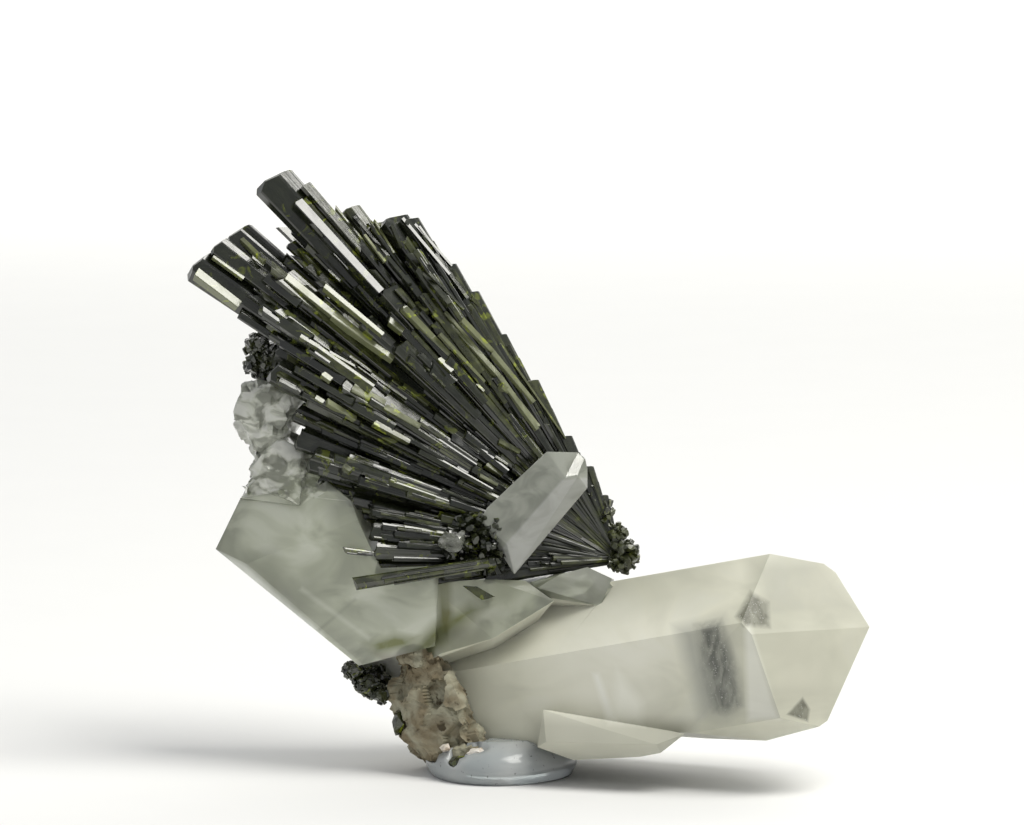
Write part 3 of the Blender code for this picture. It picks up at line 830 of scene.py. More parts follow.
@dataclass
class Spray:
    """The fan of laths: those that the viewer can tell apart, the slats on them and the fine ones between.

    The fan's reach is given as angles above the left, in degrees, and millimetres from the root. The two
    loose rods lie low in front of the others.
    """

    root: Place = FAN_ROOT
    root_width: float = 0.34
    finish: EpidoteFinish = EpidoteFinish("epidote_laths")
    seed: int = 11
    plank_tilt: float = -33.0
    plank_lift: float = 0.22
    roll_shift: float = -7.0
    stub_count: int = 90
    cap_count: int = 9
    low_tip: float = 43.0
    reach_stops: Outline = (
        (-8, 30), (4, 36), (14, 44), (24, 52), (31, 60), (36, 72), (48, 73), (57, 58), (60, 54), (66, 26),
    )
    loose: tuple[Lath, ...] = (
        Lath(seen(-0.6, -8.2, 31.2), seen(-20.2, -10.8, 28.2), 1.9 * MM, 10, RIDGED, 0.8, 0.6, slope=-0.2),
        Lath(seen(-16.5, -6.4, 32.2), seen(-21.7, -8.4, 32.9), 0.9 * MM, 0, DARK, 0.8, 1.0, slope=-0.6),
    )

    def reach(self, angle: float) -> float:
        """How far the fan goes.

        Args:
            angle: Degrees above the left.

        Returns:
            Millimetres from the root.
        """
        for (low, near), (high, far) in zip(self.reach_stops, self.reach_stops[1:]):
            if angle <= high:
                return near + (far - near) * max(0.0, angle - low) / (high - low)
        return self.reach_stops[-1][1]

    def keys(self) -> list[Lath]:
        """The laths that the viewer can tell apart.

        Returns:
            The laths.
        """
        root, deep = seen(*self.root), self.root[1]
        made = [
            Lath(root, seen(u, deep - front, v), width * MM, roll + self.roll_shift, section,
                 self.root_width, tone)
            for u, v, width, front, roll, section, tone in KEY_LATHS
        ]
        return [*made, *self.loose]

    def slats(self, key: Lath, rng: random.Random) -> list[Lath]:
        """Thin slats grown on the faces of a large lath, each broken off at its own length.

        Args:
            key: The large lath.
            rng: Where the chances come from.

        Returns:
            The slats.
        """
        across, deep, along = key.axes()
        length = (key.tip - key.root).length
        low = key.tip.z < seen(0.0, 0.0, self.low_tip).z
        kinds = (DARK, RIDGED) if low else (DARK, BRIGHT, RIDGED, BLADE)
        made = []
        for _ in range(int(4 + key.width / MM * 1.4)):
            end = rng.uniform(0.40, 0.95)
            side = rng.uniform(-0.50, 0.46)
            lift = -0.30 + 0.25 * abs(side) - rng.uniform(0.0, 0.08)
            size = (key.root_share + (1.0 - key.root_share) * end) * key.width
            width = key.width * rng.uniform(0.10, 0.36)
            beside = across * side + deep * lift
            root = key.root + beside * key.width * key.root_share
            tip = key.root + along * (length * end) + beside * size
            made.append(Lath(
                root, tip, width, key.roll + rng.uniform(-12, 12), rng.choice(kinds), key.root_share,
                rng.choice((0.0, 0.1, 0.3, 0.9)), rng.uniform(0.1, max(0.12, end - 0.3)),
                rng.uniform(-0.3, 0.5)))
        return made

    def caps(self, key: Lath, rng: random.Random) -> list[Lath]:
        """Short rods round a lath's tip, which make its end ragged.

        Args:
            key: The lath.
            rng: Where the chances come from.

        Returns:
            The rods.
        """
        across, deep, along = key.axes()
        made = []
        for _ in range(self.cap_count):
            width = key.width * rng.uniform(0.2, 0.42)
            beside = across * rng.uniform(-0.36, 0.36) + deep * rng.uniform(-0.3, 0.3)
            tip = key.tip + beside * key.width + along * rng.uniform(-1.4, 0.25) * MM
            made.append(Lath(
                tip - along * 3.5 * MM, tip, width, key.roll + rng.uniform(-40, 40),
                rng.choice((DARK, BRIGHT, RIDGED)), 0.9, rng.choice((0.1, 0.3, 0.6)),
                slope=rng.uniform(-0.5, 0.8)))
        return made

    def is_ragged(self, key: Lath) -> bool:
        """Whether a lath's end is ragged: the dark narrow ones that don't stand far back."""
        return key.tone < 0.15 and key.tip.y < 4.0 * MM and key.width < 5.0 * MM

    def stubs(self, rng: random.Random) -> list[Row]:
        """Rows for short laths that are broken off part way, each in line with the root.

        Args:
            rng: Where the chances come from.

        Returns:
            Outer end, inner end, width and tone of each.
        """
        rows = []
        for _ in range(self.stub_count):
            angle = rng.uniform(3, 58)
            bow = math.radians(angle)
            out = self.reach(angle) * rng.uniform(0.36, 0.9)
            inner = out - rng.uniform(6.0, 14.0)
            width = rng.uniform(0.8, 2.3) * (0.5 + out / 100)
            ends = []
            for far in (out, inner):
                ends += [self.root[0] - math.cos(bow) * far, self.root[2] + math.sin(bow) * far]
            rows.append((*ends, width, rng.choice((0.0, 0.1, 0.2, 0.8))))
        return rows

    def laid(self, rows: Sequence[Row], sections: Sequence[Section], pile: LathPile,
             rng: random.Random) -> list[Lath]:
        """Lay slats on the fan's front, each on what is there already.

        Args:
            rows: Outer end, inner end, width and tone of each.
            sections: The sections to choose from.
            pile: The laths so far.
            rng: Where the chances come from.

        Returns:
            The slats.
        """
        tree = BVHTree.FromBMesh(pile.shape)
        back = turned(0.0, 1.0, 0.0)
        far, steps, most_lift = 90.0, 4, 1.4
        made = []
        for u0, v0, u1, v1, width, tone in rows:
            depths = []
            for step in range(steps + 1):
                share = step / steps
                hit = tree.ray_cast(seen(u0 + (u1 - u0) * share, -far, v0 + (v1 - v0) * share), back)
                depths.append(hit[3] / MM - far if hit[0] is not None else 0.0)
            slope = depths[-1] - depths[0]
            proud = max(depths[0] + slope * step / steps - depth for step, depth in enumerate(depths))
            lift = min(proud, most_lift) + self.plank_lift + width * 0.1
            tip, root = seen(u0, depths[0] - lift, v0), seen(u1, depths[-1] - lift, v1)
            narrow = max(0.45, 1 - (root - tip).length / (seen(*self.root) - tip).length)
            section = rng.choice(sections)
            roll = (self.plank_tilt if section is Section.PLANK else self.roll_shift) + rng.uniform(-5, 5)
            slope = rng.uniform(-0.4, 0.6)
            made.append(Lath(root, tip, width * MM, roll, section, narrow, tone, slope=slope))
        return made

    def make(self) -> None:
        """Build the fan as one piece."""
        rng = random.Random(self.seed)
        pile = LathPile()
        for key in self.keys():
            pile.take([key, *self.slats(key, rng)])
            if self.is_ragged(key):
                pile.take(self.caps(key, rng))
        fine = FineLaths(self).mesh()
        pile.shape.from_mesh(fine)
        bpy.data.meshes.remove(fine)
        for stub in self.laid(self.stubs(rng), (DARK, RIDGED, DARK), pile, rng):
            pile.take([stub, *self.caps(stub, rng)[:4]])
        pile.take(self.laid(PLANKS, (Section.PLANK,), pile, rng))
        for centre, radii, count, size, tone in CLUSTERS:
            pile.take(knob(centre, radii, size, tone, rng) for _ in range(count))
        settle("epidote_fan", pile.mesh("epidote_fan"), [self.finish.make()], "epidote_spray")


# Clusters of stubby crystals in the fan: middle, half sizes, how many, their widths and their tone
CLUSTERS = (
    ((17.4, -1.2, 32.5), (1.7, 2.6, 1.6), 80, (0.6, 1.3), 0.8),
    ((17.5, 1.4, 31.4), (1.6, 2.6, 1.5), 70, (0.6, 1.3), 0.8),
    ((16.4, -2.2, 30.8), (1.3, 1.8, 1.0), 50, (0.4, 1.0), 0.8),
    ((16.5, 0.4, 34.8), (1.1, 2.4, 1.6), 60, (0.5, 1.1), 1.1),
    ((12.9, 0.2, 41.2), (0.6, 1.4, 2.0), 24, (0.3, 0.7), 0.9),
    ((15.1, 0.2, 37.9), (0.8, 1.8, 2.2), 40, (0.4, 0.9), 1.0),
    ((-4.0, -6.4, 35.4), (3.2, 2.8, 2.8), 90, (0.5, 1.4), 0.25),
    ((-1.6, -6.2, 32.2), (2.8, 2.8, 3.0), 80, (0.5, 1.4), 0.25),
    ((-5.4, -5.8, 32.6), (2.4, 2.6, 2.4), 60, (0.5, 1.2), 0.25),
    ((-1.0, -6.4, 35.6), (2.4, 2.6, 2.6), 50, (0.5, 1.2), 0.25),
)

# Bright flat slats on the front: outer end, inner end, width and tone
PLANKS = (
    (-28.1, 81.5, -16.5, 68.9, 1.54, 0.0), (-29.7, 71.0, -23.2, 65.8, 1.12, 1.5),
    (-23.2, 65.8, -14.7, 59.6, 1.26, 1.6), (-42.3, 71.7, -36.3, 67.1, 1.40, 1.4),
    (-39.9, 73.9, -35.7, 70.8, 0.70, 1.3), (-36.1, 76.4, -32.8, 73.2, 0.70, 1.4),
    (-34.6, 73.9, -32.9, 72.8, 1.12, 1.3), (-27.9, 74.9, -24.9, 71.5, 0.42, 1.0),
    (-23.9, 72.0, -16.9, 65.2, 0.56, 0.2), (-24.4, 69.7, -16.2, 62.9, 0.84, 1.3),
    (-15.4, 65.0, -13.4, 63.4, 0.98, 1.2), (-13.2, 66.6, -7.0, 60.1, 0.98, 1.3),
    (-12.7, 74.2, -7.0, 67.2, 0.98, 0.3), (-11.6, 67.5, -10.2, 66.2, 0.84, 1.2),
    (-20.4, 79.5, -15.5, 73.8, 0.56, 0.2), (-15.8, 73.9, -12.5, 70.0, 0.70, 0.2),
    (-15.1, 78.3, -13.7, 75.0, 0.56, 0.3), (-17.4, 78.7, -14.8, 74.3, 0.42, 1.2),
    (-13.6, 79.2, -7.0, 71.3, 0.56, 0.1), (-12.6, 79.2, -6.7, 72.5, 0.42, 0.1),
    (-27.7, 62.7, -25.2, 61.2, 0.70, 1.0), (-29.7, 59.8, -28.0, 58.8, 0.84, 1.4),
    (-24.6, 57.5, -23.4, 56.6, 0.84, 1.5), (-20.4, 55.6, -16.0, 53.2, 1.54, 1.4),
    (-16.0, 52.9, -11.1, 50.1, 0.98, 1.3), (-25.6, 54.2, -24.5, 53.5, 0.70, 1.3),
    (-23.9, 53.6, -20.0, 51.2, 0.84, 1.5), (-17.4, 50.7, -12.5, 48.0, 0.84, 1.1),
    (-28.4, 51.9, -23.2, 49.4, 0.42, 0.8), (-23.9, 62.2, -22.0, 60.8, 0.56, 1.0),
    (-23.7, 60.5, -20.2, 58.5, 0.42, 0.8), (-20.9, 59.9, -17.9, 57.7, 0.42, 0.9),
    (-17.9, 57.4, -13.0, 53.9, 0.42, 0.8), (-13.4, 55.9, -9.9, 53.2, 0.70, 1.1),
    (-8.4, 59.6, -6.6, 57.8, 0.84, 1.1), (-14.1, 62.4, -7.6, 55.6, 0.35, 0.6),
    (-9.0, 74.2, -4.5, 68.0, 0.70, 0.3), (-3.9, 68.0, -2.9, 67.1, 0.70, 0.8),
    (-9.9, 71.5, -5.0, 66.4, 0.42, 0.3), (-13.3, 66.8, -10.5, 63.8, 0.84, 1.3),
    (-6.7, 64.5, 0.0, 57.1, 0.98, 1.4), (0.0, 57.1, 5.3, 49.7, 0.84, 1.4),
    (-5.2, 65.0, -1.0, 60.6, 0.84, 1.5), (-1.0, 60.5, 4.8, 53.5, 0.84, 1.4),
    (0.3, 55.7, 2.2, 54.3, 0.84, 1.3), (2.2, 54.2, 5.5, 50.1, 0.56, 1.7),
    (0.0, 61.7, 9.2, 48.4, 0.42, 1.2), (-9.2, 65.8, -8.0, 64.5, 0.56, 1.2),
    (-8.3, 63.0, -2.1, 56.3, 0.56, 1.3), (-3.2, 56.0, -2.2, 55.0, 0.42, 1.2),
    (-0.1, 48.2, 2.8, 46.5, 0.84, 1.0), (-1.8, 44.9, 0.4, 43.4, 0.84, 1.1),
    (-0.6, 45.9, 1.1, 44.8, 0.42, 1.0), (-2.8, 43.3, -0.3, 41.9, 0.56, 1.1),
    (-24.9, 42.4, -20.6, 41.3, 0.42, 0.7), (-21.7, 44.7, -20.7, 44.0, 0.84, 1.0),
    (-28.0, 55.9, -25.8, 54.3, 0.35, 0.7), (-6.2, 71.0, -4.2, 68.3, 0.42, 0.6),
    (-18.9, 76.9, -16.0, 73.1, 0.42, 1.7), (-7.6, 66.1, -3.1, 60.8, 0.56, 1.5),
    (-11.3, 78.1, -8.4, 74.1, 0.42, 0.2),
)

# Tip u and v, width, how far the tip stands in front, roll, section and tone
KEY_LATHS = (
    (-31.9, 84.6, 6.3, 3.0, 0, DARK, 0.1), (-37.1, 76.9, 5.5, 0.0, -4, DARK, 0.1),
    (-42.0, 73.0, 6.4, 2.0, 2, RIDGED, 0.1), (-39.4, 75.4, 3.4, 3.6, 0, DARK, 0.1),
    (-30.2, 71.0, 4.0, 5.4, 4, BRIGHT, 0.6), (-29.3, 75.7, 1.9, 1.2, 0, DARK, 0.2),
    (-24.9, 69.4, 2.6, 5.4, 5, RIDGED, 0.2), (-21.1, 80.6, 3.0, -1.0, 4, RIDGED, 0.7),
    (-17.5, 78.4, 2.6, 0.0, 0, BRIGHT, 0.5), (-15.1, 79.2, 4.4, 1.0, 6, BRIGHT, 0.1),
    (-12.7, 79.0, 2.8, 1.6, 0, BRIGHT, 0.1), (-7.4, 72.6, 2.6, 1.0, 3, BRIGHT, 0.2),
    (-4.2, 68.8, 2.6, 0.4, 0, BRIGHT, 0.2), (-0.4, 62.8, 2.6, 0.0, 6, BRIGHT, 0.5),
    (4.2, 56.4, 2.4, 0.6, 5, RIDGED, 0.6), (8.9, 48.6, 2.4, 0.2, 4, RIDGED, 0.2),
    (12.0, 44.4, 2.2, 0.0, 8, DARK, 0.2), (14.2, 40.4, 2.0, 0.0, 0, DARK, 0.1),
    (-29.0, 63.4, 4.2, 4.6, 0, DARK, 0.1), (-30.9, 60.9, 3.6, 3.0, 4, RIDGED, 0.1),
    (-31.5, 58.0, 4.2, 5.0, 0, DARK, 0.1), (-25.9, 60.5, 3.2, 6.4, 6, DARK, 0.1),
    (-21.4, 56.4, 4.6, 7.6, 2, BRIGHT, 0.3), (-26.3, 54.2, 3.2, 6.2, 0, RIDGED, 0.4),
    (-28.4, 52.2, 3.2, 3.4, 6, DARK, 0.1), (-28.0, 48.7, 4.0, 3.4, 4, DARK, 0.1),
    (-26.3, 45.6, 4.2, 4.6, 0, DARK, 0.1), (-21.6, 44.9, 3.8, 7.0, 4, RIDGED, 0.1),
    (-25.2, 42.7, 3.0, 2.6, 0, DARK, 0.1), (-20.6, 40.0, 2.8, 4.6, 6, RIDGED, 0.2),
    (-17.9, 38.6, 2.8, 5.6, 4, DARK, 0.1), (-17.9, 35.6, 3.0, 6.4, 0, DARK, 0.1),
    (-17.4, 32.8, 3.0, 6.4, 8, DARK, 0.3), (-17.1, 30.6, 2.6, 5.6, 4, RIDGED, 0.3),
    (-8.0, 30.0, 3.0, 6.6, 6, DARK, 0.2), (-15.7, 69.2, 3.6, 6.8, 4, BRIGHT, 0.1),
    (-18.8, 64.6, 3.0, 6.6, 0, RIDGED, 0.1), (-14.0, 61.4, 3.0, 7.4, 0, DARK, 0.2),
    (-11.6, 66.0, 2.8, 5.0, 4, BRIGHT, 0.2), (-8.2, 60.0, 2.8, 6.2, 6, BRIGHT, 0.4),
    (-2.0, 29.4, 3.0, 5.0, 0, DARK, 0.2), (-10.0, 75.9, 1.6, 0.8, 0, BRIGHT, 0.3),
    (-5.8, 70.7, 1.5, 0.6, 2, RIDGED, 0.5), (-2.3, 65.8, 1.5, 0.4, 0, BRIGHT, 0.3),
    (2.0, 59.6, 1.5, 0.4, 2, BRIGHT, 0.5), (6.6, 52.5, 1.5, 0.3, 0, RIDGED, 0.3),
    (10.5, 46.4, 1.4, 0.2, 0, BRIGHT, 0.3), (13.2, 42.3, 1.3, 0.0, 0, DARK, 0.3),
    (-8.8, 28.9, 1.8, 5.4, 4, DARK, 0.1), (-1.8, 28.7, 1.8, 4.4, 0, DARK, 0.1),
)

# The kinds of thin lath: section, how wide the root is beside the tip, and how steep the end is
PROTOTYPES = (
    (DARK, 0.55, 1.0), (BRIGHT, 0.55, 0.6), (RIDGED, 0.6, -1.0),
    (BLADE, 0.6, 0.8), (BRIGHT, 0.8, 1.4), (DARK, 0.8, -0.6),
)
DARK_KINDS = (0, 2, 5)


@dataclass(frozen=True)
class Layer:
    """A layer of thin laths: how many there are and between which values each one's sizes lie.

    The angle is in degrees above the left, the reach and the start are shares of the fan's reach and of the
    lath's length, and the depth and the width are in millimetres. The depth is at the tip, and for a layer
    that fans out it is that of a lath as long as DEPTH_REACH.
    """

    count: int
    angle: Range
    reach: Range
    depth: Range
    start: Range
    width: Range
    fans_out: bool = True


# Laths lower than this, in degrees above the left, are dark
LOW_ANGLE = 14.0
# A lath of this length, in millimetres, lies at the depth that its layer gives
DEPTH_REACH = 60.0
LAYERS = (
    Layer(760, (-4, 60), (0.3, 0.9), (-2.4, -7.4), (0.06, 0.72), (0.5, 1.7)),
    Layer(460, (-4, 60), (0.35, 0.93), (-1.0, 8.0), (0.06, 0.72), (0.7, 2.0)),
    Layer(420, (-6, 62), (0.25, 0.55), (-2.2, -4.6), (0.04, 0.3), (0.3, 0.75), fans_out=False),
)


@dataclass
class FineLaths:
    """The many thin laths between the large ones, set out by a node tree from one point each."""

    spray: Spray
    thickness: float = 1.0
    jitter: float = 7.0

    def rows(self, rng: random.Random) -> list[tuple[Vector, Lath, int]]:
        """Choose the thin laths.

        Args:
            rng: Where the chances come from.

        Returns:
            Each one's visible start, the lath from the fan's root, and its kind.
        """
        root = Vector(self.spray.root)
        made = []
        for layer in LAYERS:
            for _ in range(layer.count):
                angle = rng.uniform(*layer.angle)
                bow = math.radians(angle)
                full = self.spray.reach(angle) * rng.uniform(*layer.reach)
                depth = rng.uniform(*layer.depth) * (full / DEPTH_REACH if layer.fans_out else 1.0)
                away = Vector((-math.cos(bow) * full, depth, math.sin(bow) * full))
                start = rng.uniform(*layer.start)
                width = rng.uniform(*layer.width) * MM
                lath = Lath(seen(*root), seen(*(root + away)), width, rng.uniform(-14, 14), start=start)
                dark = angle < LOW_ANGLE or not layer.fans_out
                kind = rng.choice(DARK_KINDS) if dark else rng.randrange(len(PROTOTYPES))
                made.append((seen(*(root + away * start)), lath, kind))
        return made

    def points(self) -> bpy.types.Mesh:
        """One point for each thin lath, with its directions, sizes, kind and tone.

        Returns:
            The points, as a mesh without faces.
        """
        rng = random.Random(self.spray.seed + 1)
        rows = self.rows(rng)
        laths = [lath for _, lath, _ in rows]
        data = bpy.data.meshes.new("fine_points")
        data.from_pydata([tuple(place) for place, _, _ in rows], [], [])
        lengths = [(lath.tip - lath.root).length * (1 - lath.start) for lath in laths]
        columns = {
            "along": ("FLOAT_VECTOR", [lath.axes()[2] for lath in laths]),
            "across": ("FLOAT_VECTOR", [lath.axes()[0] for lath in laths]),
            "size": ("FLOAT_VECTOR", [(lath.width, lath.width, far) for lath, far in zip(laths, lengths)]),
            "kind": ("INT", [kind for _, _, kind in rows]),
            "tone": ("FLOAT", [rng.choice((0.0, 0.05, 0.1, 0.3, 0.8)) for _ in rows]),
        }
        for name, (kind, values) in columns.items():
            layer = data.attributes.new(name, kind, "POINT")
            for item, value in zip(layer.data, values):
                setattr(item, "vector" if kind == "FLOAT_VECTOR" else "value", value)
        return data

    def prototypes(self) -> bpy.types.Collection:
        """One lath of each kind, one long and one wide, in a collection of their own.

        Returns:
            The collection.
        """
        group = bpy.data.collections.new("lath_kinds")
        for index, (section, root_share, slope) in enumerate(PROTOTYPES):
            shape = bmesh.new()
            layer = shape.loops.layers.uv.new("lath_uv")
            rings = [
                [shape.verts.new((x * size, y * size, height - slope * (x + 0.5) * 0.03 * height))
                 for x, y in section.value]
                for height, size in ((0.0, root_share), (1.0, 1.0))
            ]
            close_rod(shape, rings)
            shape.normal_update()
            for face in shape.faces:
                map_face(face, layer, face.normal)
            name = f"lath_kind_{index}"
            group.objects.link(bpy.data.objects.new(name, to_mesh(shape, name)))
        return group

    def tree(self) -> bpy.types.NodeTree:
        """The node tree: a lath on each point, turned and sized by the point's values.

        Returns:
            The tree.
        """
        tree = bpy.data.node_groups.new("fine_laths", "GeometryNodeTree")
        for name, kind in (("Geometry", "Geometry"), ("Kinds", "Collection"), ("Thickness", "Float"),
                           ("Jitter", "Float"), ("Seed", "Int"), ("Finish", "Material")):
            tree.interface.new_socket(name, in_out="INPUT", socket_type="NodeSocket" + kind)
        tree.interface.new_socket("Geometry", in_out="OUTPUT", socket_type="NodeSocketGeometry")

        def add(kind: str, inputs: dict[Any, Any] | None = None, **settings: Any) -> bpy.types.NodeOutputs:
            """Add a node to the tree and give its outputs."""
            return add_node(tree, kind, inputs, **settings).outputs

        def read(name: str, kind: str = "FLOAT_VECTOR") -> Socket:
            """A value that each point carries."""
            return add("GeometryNodeInputNamedAttribute", {"Name": name}, data_type=kind)["Attribute"]

        def store(geometry: Socket, name: str, value: Socket, kind: str, domain: str) -> Socket:
            """Keep a value on the mesh under a name."""
            inputs = {"Geometry": geometry, "Name": name, "Value": value}
            return add("GeometryNodeStoreNamedAttribute", inputs, data_type=kind, domain=domain)[0]

        given = add("NodeGroupInput")
        kinds = add("GeometryNodeCollectionInfo", {
            "Collection": given["Kinds"], "Separate Children": True, "Reset Children": True})[0]
        turn = add("FunctionNodeAxesToRotation", {
            "Primary Axis": read("along"), "Secondary Axis": read("across"),
        }, primary_axis="Z", secondary_axis="X")[0]
        swing = add("FunctionNodeRandomValue", {"Min": -1.0, "Max": 1.0, "Seed": given["Seed"]},
                    data_type="FLOAT")[1]
        degrees = add("ShaderNodeMath", {0: swing, 1: given["Jitter"]}, operation="MULTIPLY")[0]
        radians = add("ShaderNodeMath", {0: degrees}, operation="RADIANS")[0]
        roll = add("FunctionNodeAxisAngleToRotation", {"Axis": (0.0, 0.0, 1.0), "Angle": radians})[0]
        both = add("FunctionNodeRotateRotation", {"Rotation": turn, "Rotate By": roll},
                   rotation_space="LOCAL")[0]
        thick = add("ShaderNodeCombineXYZ", {0: given["Thickness"], 1: given["Thickness"], 2: 1.0})[0]
        size = add("ShaderNodeVectorMath", {0: read("size"), 1: thick}, operation="MULTIPLY")[0]
        placed = add("GeometryNodeInstanceOnPoints", {
            "Points": given["Geometry"], "Instance": kinds, "Pick Instance": True,
            "Instance Index": read("kind", "INT"), "Rotation": both, "Scale": size,
        })[0]
        real = add("GeometryNodeRealizeInstances", {"Geometry": placed})[0]
        parts = add("ShaderNodeSeparateXYZ", {0: read("size")})
        spread = add("ShaderNodeCombineXYZ", {0: parts[0], 1: parts[2], 2: 1.0})[0]
        metres = add("ShaderNodeVectorMath", {0: read("lath_uv"), 1: spread}, operation="MULTIPLY")[0]
        lengths = add("ShaderNodeVectorMath", {0: metres, "Scale": 1.0 / MM}, operation="SCALE")[0]
        mapped = store(real, "lath_uv", lengths, "FLOAT2", "CORNER")
        toned = store(mapped, "lath_tone", read("tone", "FLOAT"), "FLOAT", "FACE")
        dressed = add("GeometryNodeSetMaterial", {"Geometry": toned, "Material": given["Finish"]})[0]
        add("NodeGroupOutput", {"Geometry": dressed})
        return tree

    def mesh(self) -> bpy.types.Mesh:
        """Run the tree on the points.

        Returns:
            The thin laths as one plain mesh.
        """
        holder = bpy.data.objects.new("fine_laths", self.points())
        bpy.context.scene.collection.objects.link(holder)
        group = self.prototypes()
        modifier = holder.modifiers.new("laths", "NODES")
        tree = self.tree()
        modifier.node_group = tree
        values = {"Kinds": group, "Thickness": self.thickness, "Jitter": self.jitter, "Seed": self.spray.seed}
        for item in tree.interface.items_tree:
            if item.in_out == "INPUT" and item.name in values:
                modifier[item.identifier] = values[item.name]
        graph = bpy.context.evaluated_depsgraph_get()
        result = bpy.data.meshes.new_from_object(holder.evaluated_get(graph))
        holder.modifiers.clear()
        bpy.data.objects.remove(holder)
        for name in ("along", "across", "size", "kind", "tone"):
            result.attributes.remove(result.attributes[name])
        for item in list(group.objects):
            bpy.data.objects.remove(item)
        bpy.data.collections.remove(group)
        return result


@dataclass
class QuartzGroup:
    """The grown-together quartz, its small crystal on the fan and its clear bead."""

    edge: float = 0.28
    point_edge: float = 0.16
    sharp: float = math.radians(16.0)
    broken_depth: float = 0.85
    broken_corner: tuple[float, float] = (-24.0, 38.5)
    broken_cell: float = 0.9
    main: QuartzFinish = QuartzFinish(
        "quartz_milky", (0.84, 0.83, 0.69), (0.69, 0.69, 0.56), 0.3, 0.31, relief=0.0, gloss=0.12,
        absorb=0.0, marks=marks_between(-9.2, 99.0))
    left: QuartzFinish = QuartzFinish(
        "quartz_grey", (0.60, 0.625, 0.505), (0.41, 0.435, 0.335), 0.58, 0.285, haze=0.7, haze_size=120.0,
        marks=marks_between(-99.0, 4.0), wisp=(0.74, 0.76, 0.67), shine=0.5)
    frosted: QuartzFinish = QuartzFinish(
        "quartz_frosted", (0.78, 0.80, 0.70), (0.50, 0.52, 0.42), 0.45, 0.31, 0.4, haze=0.95, haze_size=330.0,
        haze_range=(0.42, 0.58), shine=0.4)
    clear: QuartzFinish = QuartzFinish(
        "quartz_clear", (0.80, 0.82, 0.72), (0.57, 0.60, 0.50), 0.62, 0.12, haze=0.6, haze_size=170.0,
        absorb=8.0, marks=POINT_PAINTED_FACETS, wisp=(0.80, 0.83, 0.73), shine=0.3)
    drop: QuartzFinish = QuartzFinish(
        "quartz_drop", (0.50, 0.52, 0.43), (0.28, 0.30, 0.23), 0.75, 0.1, haze=0.6, haze_size=420.0,
        absorb=8.0, shine=0.3)

    def softened(self, node: str, edge: float) -> Shape:
        """A copy of a CAD node with its sharp edges slightly worn.

        Args:
            node: The node's name.
            edge: How wide the worn edges are, in millimetres.

        Returns:
            The working mesh.
        """
        shape = copy_of(node)
        bmesh.ops.dissolve_limit(shape, angle_limit=math.radians(0.6), verts=shape.verts, edges=shape.edges)
        rims = [
            rim for rim in shape.edges
            if rim.is_manifold and rim.calc_face_angle(0.0) > self.sharp and rim.is_convex
            and rim.calc_length() > 2.5 * edge * MM
        ]
        bmesh.ops.bevel(shape, geom=rims, offset=edge * MM, segments=2, profile=0.6, affect="EDGES",
                        clamp_overlap=True)
        bmesh.ops.triangulate(shape, faces=[face for face in shape.faces if len(face.verts) > 4])
        return shape

    def is_broken(self, place: Vector) -> bool:
        """Whether a place is on the broken lumps at the upper left."""
        return place.x < self.broken_corner[0] * MM and place.z > self.broken_corner[1] * MM

    def is_grey(self, place: Vector) -> bool:
        """Whether a place is on the left crystal or on the pieces that rise under the fan.

        Args:
            place: The place in the part's frame.

        Returns:
            Whether it is.
        """
        across = place.x / MM
        up = (place.z / MM - PAD_RISE) * math.cos(LEAN) + place.y / MM * math.sin(LEAN)
        rise = 18.8 + 0.5 * (across + 9.8) if across < 5.0 else 26.2
        return across < -8.7 or (across < 15.0 and up > rise)

    def break_up(self, shape: Shape) -> None:
        """Roughen the broken lumps: cut them finer and push their skin in and out.

        Args:
            shape: The quartz's working mesh.
        """
        for _ in range(4):
            long = [
                edge for edge in shape.edges
                if self.is_broken((edge.verts[0].co + edge.verts[1].co) / 2)
                and edge.calc_length() > self.broken_cell * MM
            ]
            bmesh.ops.subdivide_edges(shape, edges=long, cuts=1)
            broken = [face for face in shape.faces if self.is_broken(face.calc_center_median())]
            bmesh.ops.triangulate(shape, faces=broken)
        shape.normal_update()
        for vert in shape.verts:
            if self.is_broken(vert.co):
                push = blocks(vert.co / (3.0 * MM)) * 2.2
                push += noise.noise(vert.co / (3.6 * MM)) * 0.6 + noise.noise(vert.co / (1.3 * MM)) * 0.35
                vert.co += vert.normal * (push * self.broken_depth * MM)

    def mass(self) -> None:
        """Build the grown-together crystals."""
        shape = self.softened("quartz_crystals", self.edge)
        self.break_up(shape)
        data = to_mesh(shape, "quartz_mass", True)
        data.set_sharp_from_angle(angle=math.radians(14.0))
        for face in data.polygons:
            if self.is_broken(face.center):
                face.material_index = 2
            elif self.is_grey(face.center):
                face.material_index = 1
        finishes = [finish.make() for finish in (self.main, self.left, self.frosted)]
        settle("quartz_group", data, finishes, "quartz_crystals")

    def bead(self) -> None:
        """Build the clear bead, rounded and then made knobbly."""
        shape = copy_of("quartz_bead")
        bmesh.ops.subdivide_edges(shape, edges=shape.edges, cuts=2, use_grid_fill=True, smooth=0.8)
        shape.normal_update()
        for vert in shape.verts:
            vert.co += vert.normal * blocks(vert.co / (1.5 * MM)) * 0.9 * MM
        settle("quartz_drop", to_mesh(shape, "quartz_drop"), [self.drop.make()], "quartz_bead")

    def make(self) -> None:
        """Build the three quartz pieces."""
        self.mass()
        point = to_mesh(self.softened("quartz_point", self.point_edge), "quartz_small")
        settle("quartz_small", point, [self.clear.make()], "quartz_point")
        self.bead()


